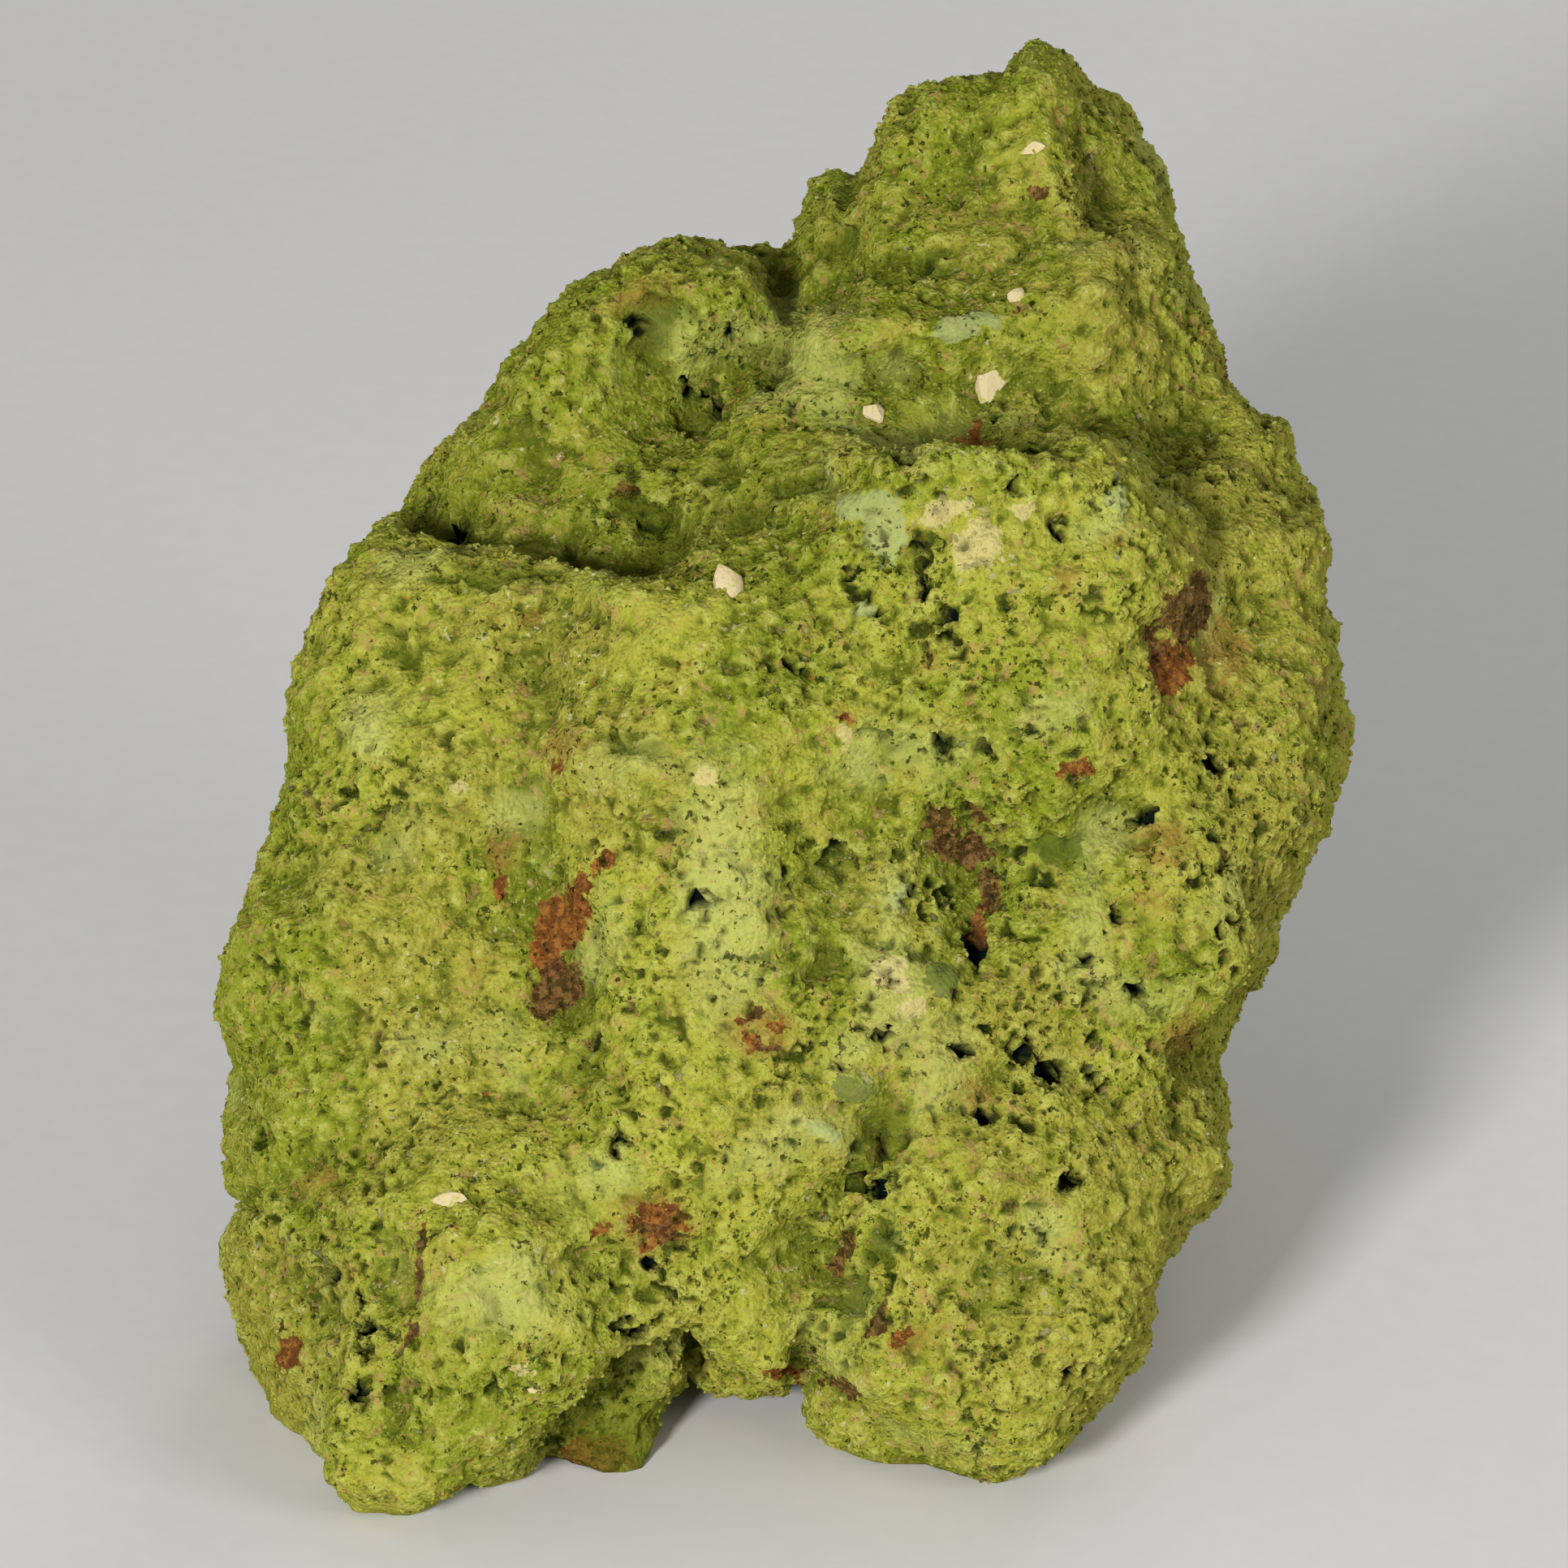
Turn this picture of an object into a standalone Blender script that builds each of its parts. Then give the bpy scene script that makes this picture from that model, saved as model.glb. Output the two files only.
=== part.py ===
"""A loose lump of nontronite, the yellow-green iron clay, built as the one solid stone that it is.

The stone is drawn as it looks from one viewing point in front of it and a little above: across, up and
back are millimetres on the picture plane through the stone, and back is measured along the line of sight.
Rounded lumps are placed that way, melted into one body, hollowed, fitted to the drawn outline, roughened
and set down on the flat undersides of its feet. Units are metres, +Z is up, and +Y points to the back.
"""

import math

import bmesh
import bpy
import numpy as np
from mathutils import Matrix, Vector, noise

MM = 0.001

# The viewing point, the middle of the picture plane, and the ground below that middle.
VIEW_TILT = math.radians(25)
VIEW_DISTANCE = 450 * MM
GROUND_MIDDLE = Vector((-0.115, -2.7, 0)) * MM
PICTURE_MIDDLE = GROUND_MIDDLE + Vector((0, 0, 28.4)) * MM
RIGHT = Vector((1, 0, 0))
UP = Vector((0, math.sin(VIEW_TILT), math.cos(VIEW_TILT)))
AWAY = Vector((0, math.cos(VIEW_TILT), -math.sin(VIEW_TILT)))

# The stone's edge as drawn from the viewing point, anticlockwise from the right of the peak: across, up.
OUTLINE = [
    (14.8, 37.5), (12.5, 37.9), (11.4, 37.1), (10.2, 36.5), (6.3, 36.0), (5.1, 34.8), (4.3, 33.5),
    (4.1, 32.6), (2.0, 31.5), (1.1, 30.7), (0.4, 29.5), (0.0, 27.9), (-1.0, 27.3), (-4.0, 27.7),
    (-6.9, 27.5), (-8.4, 26.9), (-11.6, 25.0), (-13.4, 23.0), (-15.0, 21.0), (-15.2, 19.0),
    (-16.6, 18.0), (-17.6, 16.7), (-18.9, 14.3), (-20.0, 14.0), (-21.2, 12.9), (-23.1, 10.3),
    (-23.8, 8.9), (-25.1, 5.6), (-25.3, 2.8), (-25.0, 1.1), (-25.8, -0.8), (-27.1, -3.9),
    (-28.1, -6.7), (-28.9, -9.4), (-28.8, -11.5), (-28.2, -13.8), (-28.7, -15.8), (-29.0, -18.4),
    (-28.1, -22.0), (-29.0, -23.9), (-28.0, -27.7), (-27.5, -29.7), (-26.5, -31.4), (-26.4, -32.5),
    (-24.2, -35.4), (-22.8, -36.2), (-22.2, -37.2), (-19.1, -37.7), (-17.8, -37.2), (-16.9, -36.4),
    (-13.6, -35.9), (-11.5, -34.8), (-9.0, -35.9), (-7.2, -35.5), (-6.9, -34.3), (-5.0, -31.8),
    (-1.0, -31.7), (0.1, -32.1), (2.1, -34.0), (4.8, -35.0), (6.5, -34.8), (9.6, -35.7),
    (11.4, -35.7), (14.3, -34.1), (17.6, -30.1), (18.8, -29.0), (19.4, -25.0), (20.7, -23.0),
    (22.7, -21.0), (23.1, -16.4), (22.3, -14.4), (23.1, -11.4), (25.3, -8.5), (25.3, -7.2),
    (27.8, -2.2), (29.1, 2.6), (28.1, 8.0), (27.4, 10.2), (28.0, 11.3), (28.0, 13.2), (26.5, 16.8),
    (26.2, 18.5), (23.3, 20.0), (22.1, 23.5), (20.5, 28.0), (19.8, 31.0), (18.2, 33.9), (16.1, 35.7),
]
OUTLINE_POLE = (0.0, -1.4)
OUTLINE_RAYS = 240
FIT_PASSES = 3
# What fewer faces take off the edge, in millimetres.
EDGE_ALLOWANCE = 0.2

# Lumps seen from the front: across, up, back, then half width, half height, half depth, and roll in degrees.
FRONT_LUMPS = {
    "core": (0, -6, 6, 23, 25, 16, 0),
    "crest_block": (10.5, 7, -3.5, 11.5, 11.2, 11.5, -8),
    "below_crest": (11, -3, -0.5, 12.5, 15, 13, 0),
    "left_block": (-12, 0, 1, 13, 12, 12, -9),
    "central_ridge": (-3, -4, -5, 8.5, 16, 11, 5),
    "left_flank": (-18, -14, 2, 10.5, 14, 14, 0),
    "lower_left_lobe": (-15.5, -27, -6, 9, 9.5, 11, 10),
    "lower_left_outer": (-22, -23.5, 1, 7, 11.5, 12, 0),
    "front_left_foot": (-19.5, -34, -9, 5.5, 4.5, 7, 0),
    "middle": (4, -12, -3, 9, 13, 12, 0),
    "middle_low": (-4, -20, -5.5, 9, 9.5, 10, 0),
    "lower_right_lobe": (11, -25, -4.5, 9.5, 10.5, 11, 0),
    "lower_right_outer": (17.5, -17, 2, 5.5, 9, 12, 0),
    "mid_right": (14, -7, -1.5, 11, 10, 12, 0),
    "right_flank": (20, 1, 4.5, 9.3, 14, 13.5, -6),
    "right_shoulder": (22, 13, 10, 6, 7, 10, 15),
    "upper_left_hump": (-7.5, 19.2, 11, 9, 8.3, 11, 25),
    "left_saddle": (-12.5, 13, 10, 7.5, 7, 9, 0),
    "saddle": (2, 14, 9.5, 12, 9, 11, 0),
    "notch": (0.3, 22.6, 12.5, 6.5, 6.2, 11, 0),
    "peak": (12.5, 28.5, 13, 6, 9.5, 9, -10),
    "peak_left": (6, 29.5, 13, 6, 7.5, 8.5, 10),
    "peak_foot": (11.5, 20.5, 10.5, 10.5, 9, 11, 0),
}

# Lumps that only the back shows: x, y, z from the ground's middle, then half sizes along x, y and z.
BACK_LUMPS = {
    "back_base": (1, 6, 13, 22, 19, 14),
    "back_upper": (9, 18, 35, 13, 13, 19),
    "back_left": (-11, 8, 22, 13, 14, 15),
    "back_right": (15, 6, 20, 11, 16, 15),
    "back_heel": (6, 17, 8, 13, 9, 9),
}
BLOCKINESS = 3.2

# Swells and dents of the front: across, up, half width, half height, roll, and how far they stand in.
FRONT_RELIEF = {
    "trench_behind_left_crest": (-10, 14.6, 9.5, 1.9, -8, 3.8),
    "trench_behind_crest": (11, 19.9, 9.5, 1.7, -8, 4.2),
    "hump_hollow": (-6.5, 23.5, 1.9, 3.4, 20, 2.6),
    "valley_to_peak": (-2.5, 21.5, 1.8, 6.5, -38, 3.2),
    "peak_ledge": (7.5, 27.2, 6.5, 1.3, 12, 2.0),
    "peak_right_face": (20.5, 26, 3.4, 9, 12, 4.0),
    "middle_right_hollow": (15.5, -2.2, 4.6, 1.7, 25, 2.2),
    "orange_cavity": (9.5, -4.2, 1.8, 3.5, 0, 2.0),
    "crack_under_cavity": (9.8, -8, 0.9, 2.6, 0, 1.6),
    "low_crease": (2.8, -22.5, 1.8, 6.5, -22, 2.6),
    "ridge_right_edge": (1.6, -8, 2.6, 7.5, -5, 1.6),
    "beside_lower_left_lobe": (-21.2, -26.5, 1.5, 6.5, 5, 2.4),
    "above_lower_left_lobe": (-15, -17.5, 6.5, 2.2, -10, 1.6),
    "dark_patch_hollow": (20.2, 7.6, 1.4, 3.0, -20, 1.0),
    "left_face_dish": (-15, -6, 5.5, 6, 0, 1.4),
    "crest_face_pits": (6.5, 8.5, 2.6, 2.6, 0, 1.4),
    "left_crest_pits": (-9.5, 4.5, 4.5, 1.6, -15, 1.2),
    "right_of_crest": (24, 8, 1.6, 6.5, -18, 1.0),
    "crest_lip": (9.5, 15.6, 8, 1.6, -6, -1.8),
    "left_crest_lip": (-11, 11.2, 8, 1.5, -8, -1.6),
    "peak_edge": (14.8, 28, 1.2, 7.5, 12, -1.5),
    "ledge_below_peak": (8, 24.3, 5.5, 1.4, 10, -1.4),
    "lower_left_knee": (-14.5, -25, 4.2, 4.2, 0, -1.6),
    "pale_ridge_swell": (-3.5, -5.5, 2.6, 6.5, 6, -1.2),
}

# Hollows of the underside, given as the back lumps are.
UNDER_HOLLOWS = {
    "cave": (-6, -29.3, 0, 6.3, 14.2, 8.3),
    "cave_mouth": (-1.5, -28.5, 0, 9.3, 9.3, 5.2),
    "between_the_feet": (-5, -2, -1.5, 12, 16, 3.6),
}

# Lumps that hang down inside the cave, given as the front lumps are.
CAVE_LUMPS = {
    "rear_foot": (-8.4, -31, -6.4, 2.9, 5.6, 3.0, 0),
    "right_ridge": (5.5, -33.8, -4, 4.2, 2.2, 4.5, 0),
}

# Roughness of the broken surface: size of the bumps and how far they stand, in millimetres.
ROUGHNESS = {"blocks": (13, 1.5), "knobs": (6.5, 1.0), "crumbs": (3.4, 0.6)}
ROUGHNESS_SEED = Vector((3.7, 1.2, 8.9))

MELT_VOXEL = 0.8 * MM
MELT_SMOOTHING = 10
TRIANGLES = 9000
SOLE_DEPTH = 20 * MM
STONE_REACH = 80 * MM


def as_seen(across, up, back):
    """The point seen at across, up on the picture plane, and back along the line of sight."""
    spread = (VIEW_DISTANCE + back * MM) / VIEW_DISTANCE
    return PICTURE_MIDDLE + (RIGHT * across + UP * up) * spread * MM + AWAY * back * MM


def on_picture(points):
    """Where the viewing point sees these points: across and up on the picture plane, in millimetres."""
    offset = points - np.array(PICTURE_MIDDLE)
    spread = VIEW_DISTANCE / (VIEW_DISTANCE + offset @ np.array(AWAY))
    return np.stack([offset @ np.array(RIGHT), offset @ np.array(UP)], axis=1) * spread[:, None] / MM


def from_ground(x, y, z):
    return GROUND_MIDDLE + Vector((x, y, z)) * MM


def lump(bm, placing, half_sizes, blockiness=2.0):
    """Adds one closed rounded lump; a blockiness of 2 is an ellipsoid, and more squares its sides."""
    made = bmesh.ops.create_icosphere(bm, subdivisions=4, radius=1)["verts"]
    for vert in made:
        spread = sum(abs(part) ** blockiness for part in vert.co) ** (1 / blockiness)
        vert.co /= spread
    sizes = Matrix.Diagonal([*(size * MM for size in half_sizes), 1])
    bmesh.ops.transform(bm, matrix=placing @ sizes, verts=made)


def object_from(bm, name, collection):
    mesh = bpy.data.meshes.new(name)
    bm.to_mesh(mesh)
    bm.free()
    made = bpy.data.objects.new(name, mesh)
    collection.objects.link(made)
    return made


def evaluated_bmesh(thing):
    """The object's mesh with its modifiers applied, as a bmesh."""
    bpy.context.view_layer.update()
    bm = bmesh.new()
    bm.from_object(thing, bpy.context.evaluated_depsgraph_get())
    return bm


def add_seen_lumps(bm, lumps):
    view_axes = Matrix((RIGHT, UP, -AWAY)).transposed().to_4x4()
    for across, up, back, wide, high, deep, roll in lumps.values():
        turn = Matrix.Rotation(math.radians(roll), 4, "Z")
        placing = Matrix.Translation(as_seen(across, up, back)) @ view_axes @ turn
        lump(bm, placing, (wide, high, deep), BLOCKINESS)


def gather_lumps(collection):
    bm = bmesh.new()
    add_seen_lumps(bm, FRONT_LUMPS)
    for x, y, z, wide, deep, high in BACK_LUMPS.values():
        lump(bm, Matrix.Translation(from_ground(x, y, z)), (wide, deep, high), BLOCKINESS)
    return object_from(bm, "gathered_lumps", collection)


def melt(thing):
    """Melts overlapping lumps into one skin."""
    remesh = thing.modifiers.new("melt", "REMESH")
    remesh.mode = "VOXEL"
    remesh.voxel_size = MELT_VOXEL
    bm = evaluated_bmesh(thing)
    bpy.data.objects.remove(thing)
    return bm


def smoothed(bm, passes):
    every_axis = {"use_axis_x": True, "use_axis_y": True, "use_axis_z": True}
    for _ in range(passes):
        bmesh.ops.smooth_vert(bm, verts=bm.verts, factor=0.5, **every_axis)
    return bm


def cutter(name, bm, cutters):
    """A solid that is only there to cut the stone, and isn't rendered."""
    made = object_from(bm, name, cutters)
    made.hide_render = True
    made.display_type = "WIRE"
    return made


def cut_away(stone, tool):
    cut = stone.modifiers.new(tool.name, "BOOLEAN")
    cut.operation = "DIFFERENCE"
    cut.solver = "EXACT"
    cut.object = tool


def hollow_underside(stone, cutters):
    """Cuts the low cave under the front edge, and the shallow hollow that leaves the stone on its feet."""
    for name, (x, y, z, wide, deep, high) in UNDER_HOLLOWS.items():
        bm = bmesh.new()
        lump(bm, Matrix.Translation(from_ground(x, y, z)), (wide, deep, high), BLOCKINESS)
        cut_away(stone, cutter(name, bm, cutters))


def thin_out(stone):
    """Keeps the faces few, and larger where the stone is flatter."""
    bpy.context.view_layer.update()
    shown = stone.evaluated_get(bpy.context.evaluated_depsgraph_get()).to_mesh()
    shown.calc_loop_triangles()
    thinner = stone.modifiers.new("fewer_faces", "DECIMATE")
    thinner.ratio = TRIANGLES / len(shown.loop_triangles)
    thinner.use_collapse_triangulate = True


def stand_flat(stone, cutters):
    """Cuts the undersides of the feet flat at z = 0, where the stone rests."""
    bm = bmesh.new()
    size = Matrix.Diagonal((2 * STONE_REACH, 2 * STONE_REACH, SOLE_DEPTH, 1))
    bmesh.ops.create_cube(bm, size=1, matrix=Matrix.Translation((0, 0, -SOLE_DEPTH / 2)) @ size)
    cut_away(stone, cutter("sole_cut", bm, cutters))


def outline_reach(angles):
    """How far the drawn outline lies from its pole, in millimetres, at each angle."""
    points = np.array(OUTLINE) - OUTLINE_POLE
    point_angles = np.arctan2(points[:, 1], points[:, 0])
    order = np.argsort(point_angles)
    around = points[order]
    around_angles = point_angles[order]
    after = np.searchsorted(around_angles, angles) % len(around)
    start, end = around[after - 1], around[after]
    direction = np.stack([np.cos(angles), np.sin(angles)], axis=1)
    side = end - start
    return np.abs(np.cross(start, side) / np.cross(direction, side)) + EDGE_ALLOWANCE


def fit_outline(bm):
    """Draws the stone's edge in or out, as the viewing point sees it, until it follows the outline."""
    rays = np.linspace(-math.pi, math.pi, OUTLINE_RAYS, endpoint=False)
    target = outline_reach(rays)
    for _ in range(FIT_PASSES):
        points = np.array([v.co for v in bm.verts])
        seen = on_picture(points) - OUTLINE_POLE
        reach = np.hypot(seen[:, 0], seen[:, 1])
        angle = np.arctan2(seen[:, 1], seen[:, 0])
        nearest = np.rint((angle + math.pi) / math.tau * OUTLINE_RAYS).astype(int) % OUTLINE_RAYS
        edge = np.zeros(OUTLINE_RAYS)
        np.maximum.at(edge, nearest, reach)
        stretch = np.interp(angle, rays, target / edge, period=math.tau)
        nearness = np.clip(reach / np.interp(angle, rays, edge, period=math.tau), 0, 1) ** 3
        scale = 1 + (stretch - 1) * nearness
        depth = (points - np.array(PICTURE_MIDDLE)) @ np.array(AWAY)
        spread = (VIEW_DISTANCE + depth) / VIEW_DISTANCE
        moved = seen * (scale - 1)[:, None] * spread[:, None] * MM
        points += moved[:, :1] * np.array(RIGHT) + moved[:, 1:] * np.array(UP)
        for vert, point in zip(bm.verts, points):
            vert.co = point
    return bm


def shape_front(bm):
    """Presses the dents into the face that the viewing point sees, and raises its swells."""
    bm.normal_update()
    points = np.array([v.co for v in bm.verts])
    facing = np.clip(-(np.array([v.normal for v in bm.verts]) @ np.array(AWAY)), 0, 1)
    seen = on_picture(points)
    press = np.zeros(len(points))
    for across, up, wide, high, roll, depth in FRONT_RELIEF.values():
        turn = math.radians(roll)
        offset = seen - (across, up)
        along = offset @ (math.cos(turn), math.sin(turn)) / wide
        over = offset @ (-math.sin(turn), math.cos(turn)) / high
        press += depth * np.exp(-(along**2 + over**2))
    points += (press * np.sqrt(facing) * MM)[:, None] * np.array(AWAY)
    for vert, point in zip(bm.verts, points):
        vert.co = point
    return bm


def roughen(bm):
    """Breaks the surface up with blocks, knobs and crumbs, in or out along its normals."""
    bm.normal_update()
    for bump, height in ROUGHNESS.values():
        moves = []
        for vert in bm.verts:
            place = (vert.co - GROUND_MIDDLE) / (bump * MM) + ROUGHNESS_SEED
            ridge = 1 - 2 * abs(noise.noise(place * 0.9 + ROUGHNESS_SEED))
            moves.append(vert.normal * (noise.noise(place) + 0.5 * ridge - 0.3) * height * MM)
        for vert, move in zip(bm.verts, moves):
            vert.co += move
    return bm


def finish(colour, roughness):
    material = bpy.data.materials.new("stone")
    material.use_nodes = True
    shader = material.node_tree.nodes["Principled BSDF"]
    shader.inputs["Base Color"].default_value = (*colour, 1)
    shader.inputs["Roughness"].default_value = roughness
    shader.inputs["Metallic"].default_value = 0
    return material


def main():
    for thing in list(bpy.data.objects):
        bpy.data.objects.remove(thing)
    stone_parts = bpy.data.collections.new("nontronite specimen")
    cutters = bpy.data.collections.new("cutters")
    bpy.context.scene.collection.children.link(stone_parts)
    bpy.context.scene.collection.children.link(cutters)
    melted = smoothed(melt(gather_lumps(stone_parts)), MELT_SMOOTHING)
    formed = object_from(shape_front(fit_outline(melted)), "formed_stone", stone_parts)
    hollow_underside(formed, cutters)
    hollowed = evaluated_bmesh(formed)
    bpy.data.objects.remove(formed)
    add_seen_lumps(hollowed, CAVE_LUMPS)
    broken = object_from(roughen(hollowed), "broken_stone", stone_parts)
    stone = object_from(fit_outline(smoothed(melt(broken), 1)), "nontronite_stone", stone_parts)
    thin_out(stone)
    stand_flat(stone, cutters)
    stone.data.materials.append(finish((0.36, 0.42, 0.06), 0.95))
    return stone


if __name__ == "__main__":
    main()
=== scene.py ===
# %% [markdown]
# A lump of nontronite, finished
# This lesson dresses one solid stone so that it looks like a real lump of nontronite: a soft, crumbly
# iron clay, yellow-green like pea soup, full of pores and dusted with rusty and creamy grains. The
# solid gives the size and the main form. Everything here is added to a finer copy of that solid, so
# the stone stays where it is and as large as it is.

import math

import bmesh
import bpy
import numpy as np
from mathutils import Matrix, Vector, noise
from mathutils.bvhtree import BVHTree


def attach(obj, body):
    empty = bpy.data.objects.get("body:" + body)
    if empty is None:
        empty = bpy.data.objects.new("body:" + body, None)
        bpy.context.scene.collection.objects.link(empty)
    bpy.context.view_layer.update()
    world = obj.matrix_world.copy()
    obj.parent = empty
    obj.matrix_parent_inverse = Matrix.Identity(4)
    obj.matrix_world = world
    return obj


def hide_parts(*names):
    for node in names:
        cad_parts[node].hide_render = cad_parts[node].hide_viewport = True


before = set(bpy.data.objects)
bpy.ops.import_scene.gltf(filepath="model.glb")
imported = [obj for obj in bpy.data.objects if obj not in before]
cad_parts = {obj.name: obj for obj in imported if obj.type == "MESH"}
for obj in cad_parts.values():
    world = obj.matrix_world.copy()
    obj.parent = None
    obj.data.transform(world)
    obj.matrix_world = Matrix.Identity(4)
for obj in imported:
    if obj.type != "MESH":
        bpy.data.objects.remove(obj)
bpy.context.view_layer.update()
STONE = "nontronite_stone"
BODY = "root"
MM = 0.001

# %% [markdown]
# The viewing point
# The stone was drawn from one viewing point, in front of it and 25 degrees above the level. Places on
# its face are easiest to give as they look from there: how far across and how far up, in millimetres
# on a picture plane through the stone. The camera goes to the same point. Its lens is worked out from
# the picture's width on that plane, so the frame is the photograph's.

# %% Camera and picture plane
VIEW_TILT = math.radians(25)
VIEW_DISTANCE = 450 * MM
PICTURE_MIDDLE = Vector((-0.115, -2.7, 28.4)) * MM
PICTURE_WIDTH = 80.5 * MM
SENSOR_WIDTH = 36
RIGHT = Vector((1, 0, 0))
UP = Vector((0, math.sin(VIEW_TILT), math.cos(VIEW_TILT)))
AWAY = Vector((0, math.cos(VIEW_TILT), -math.sin(VIEW_TILT)))
EYE = PICTURE_MIDDLE - AWAY * VIEW_DISTANCE


def make_camera():
    camera = bpy.data.objects.new("camera", bpy.data.cameras.new("camera"))
    bpy.context.scene.collection.objects.link(camera)
    camera.data.sensor_width = SENSOR_WIDTH
    camera.data.lens = SENSOR_WIDTH * VIEW_DISTANCE / PICTURE_WIDTH
    camera.data.clip_start = 0.01
    axes = Matrix((RIGHT, UP, -AWAY)).transposed().to_4x4()
    camera.matrix_world = Matrix.Translation(EYE) @ axes
    bpy.context.scene.camera = camera
    return camera


def seen_from_eye(points):
    """Across, up and back of each point, in millimetres, as the viewing point sees it."""
    offset = points - np.array(PICTURE_MIDDLE)
    back = offset @ np.array(AWAY)
    spread = VIEW_DISTANCE / (VIEW_DISTANCE + back)
    across = offset @ np.array(RIGHT) * spread
    up = offset @ np.array(UP) * spread
    return np.stack([across, up, back], axis=1) / MM


camera = make_camera()
print("lens in millimetres:", round(camera.data.lens, 1))

# %% [markdown]
# A finer skin
# The solid has flat faces a millimetre or two across, too coarse for crumbs. Subdividing would keep
# its triangles' pattern, which shows in the light. A voxel remesh of a merged copy gives even little
# faces all over instead, and some smoothing takes the solid's flat faces away before the real
# roughness is put on. The sole stays flat, so the stone still rests on it. The skin is finer here than
# it ends up: once it is rough, faces that do little are thinned out again.

# %% Copy, remesh and smooth
SKIN_VOXEL = 0.29 * MM
SKIN_SMOOTHING = 14
SOLE_BAND = 0.6 * MM


def object_from(bm, name):
    mesh = bpy.data.meshes.new(name)
    bm.to_mesh(mesh)
    bm.free()
    made = bpy.data.objects.new(name, mesh)
    bpy.context.scene.collection.objects.link(made)
    return made


def evaluated_bmesh(thing):
    bpy.context.view_layer.update()
    bm = bmesh.new()
    bm.from_object(thing, bpy.context.evaluated_depsgraph_get())
    return bm


def smooth(bm, verts, passes):
    every_axis = {"use_axis_x": True, "use_axis_y": True, "use_axis_z": True}
    for _ in range(passes):
        bmesh.ops.smooth_vert(bm, verts=verts, factor=0.5, **every_axis)


def fine_skin(node):
    bm = bmesh.new()
    bm.from_mesh(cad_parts[node].data)
    bmesh.ops.remove_doubles(bm, verts=bm.verts, dist=0.01 * MM)
    coarse = object_from(bm, "coarse_copy")
    remesh = coarse.modifiers.new("even_faces", "REMESH")
    remesh.mode = "VOXEL"
    remesh.voxel_size = SKIN_VOXEL
    fine = evaluated_bmesh(coarse)
    bpy.data.objects.remove(coarse)
    raised = [vert for vert in fine.verts if vert.co.z > SOLE_BAND]
    smooth(fine, raised, SKIN_SMOOTHING)
    return fine


skin = fine_skin(STONE)
print("faces of the fine skin:", len(skin.faces))

# %% [markdown]
# Places on the skin
# Each pit and stain is given by where it is seen, its half width and half height, and its roll. A ray
# from the viewing point finds how deep the surface lies there, so a mark reaches only the surface that
# carries it and not the far side of the stone. A little noise bends the coordinates, which keeps the
# marks from being neat ovals.

# %% Masks for named places
# Sizes and reaches, in millimetres, of the two noises that bend the marks.
WIDE_WARP = (1.4, 0.75)
FINE_WARP = (0.55, 0.5)
# How far behind a mark's own surface it still reaches, where it has faded out, and its edge's width
# as a share of its size.
MARK_DEPTH = 3.5
MARK_FADE = 1.6
MARK_SOFTNESS = 0.35


def coordinates(bm):
    return np.array([vert.co for vert in bm.verts])


def noise_at(points, size, seed, octaves=0):
    """Smooth noise of a given size in millimetres, one value for each point."""
    shift = Vector((seed * 7.13, seed * 3.71, seed * 5.39))
    places = points / (size * MM)
    if octaves:
        return np.array([noise.fractal(Vector(place) + shift, 1.0, 2.0, octaves) for place in places])
    return np.array([noise.noise(Vector(place) + shift) for place in places])


def cells_at(points, size, seed):
    """Distance to the middle of the nearest lump of a given size, about 0 to 1."""
    shift = Vector((seed * 2.17, seed * 9.31, seed * 4.53))
    places = points / (size * MM)
    return np.array([noise.voronoi(Vector(place) + shift)[0][0] for place in places])


def step_up(values, low, high):
    """0 below the low value, 1 above the high one, with a smooth step between."""
    part = np.clip((values - low) / (high - low), 0, 1)
    return part * part * (3 - 2 * part)


def spots(points, size, seed, octaves, low, high):
    """Spots of noise that fade in between two of its values."""
    return step_up(noise_at(points, size, seed, octaves), low, high)


def depth_seen(across, up):
    """How far back the surface lies that the viewing point sees at this place, in millimetres."""
    target = PICTURE_MIDDLE + (RIGHT * across + UP * up) * MM
    hit, _, _, _ = skin_surface.ray_cast(EYE, (target - EYE).normalized())
    if hit is None:
        return None
    return (hit - PICTURE_MIDDLE).dot(AWAY) / MM


def marks(bent, places, softness=MARK_SOFTNESS, reach_back=MARK_DEPTH):
    """One mask for a list of places: 1 inside them, 0 outside, and 0 on what lies far behind them."""
    mask = np.zeros(len(seen))
    for across, up, wide, high, roll in places:
        depth = depth_seen(across, up)
        if depth is None:
            print("no surface is seen at", across, up)
            continue
        turn = math.radians(roll)
        offset = bent - (across, up)
        along = offset @ (math.cos(turn), math.sin(turn)) / wide
        over = offset @ (-math.sin(turn), math.cos(turn)) / high
        reach = np.hypot(along, over)
        behind = step_up(np.abs(seen[:, 2] - depth), reach_back, reach_back * MARK_FADE)
        inside = 1 - step_up(reach, 1 - softness, 1 + softness)
        mask = np.maximum(mask, inside * (1 - behind))
    return mask


skin_surface = BVHTree.FromBMesh(skin)
seen = seen_from_eye(coordinates(skin))
plain = seen[:, :2]
warped = plain.copy()
for size, reach in (WIDE_WARP, FINE_WARP):
    bend = [noise_at(coordinates(skin), size, seed) for seed in (1, 2)]
    warped += reach * np.stack(bend, axis=1)
lightly_warped = plain + 0.5 * (warped - plain)
print("the middle of the picture lies back", round(depth_seen(0, 0), 1), "mm")
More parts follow.
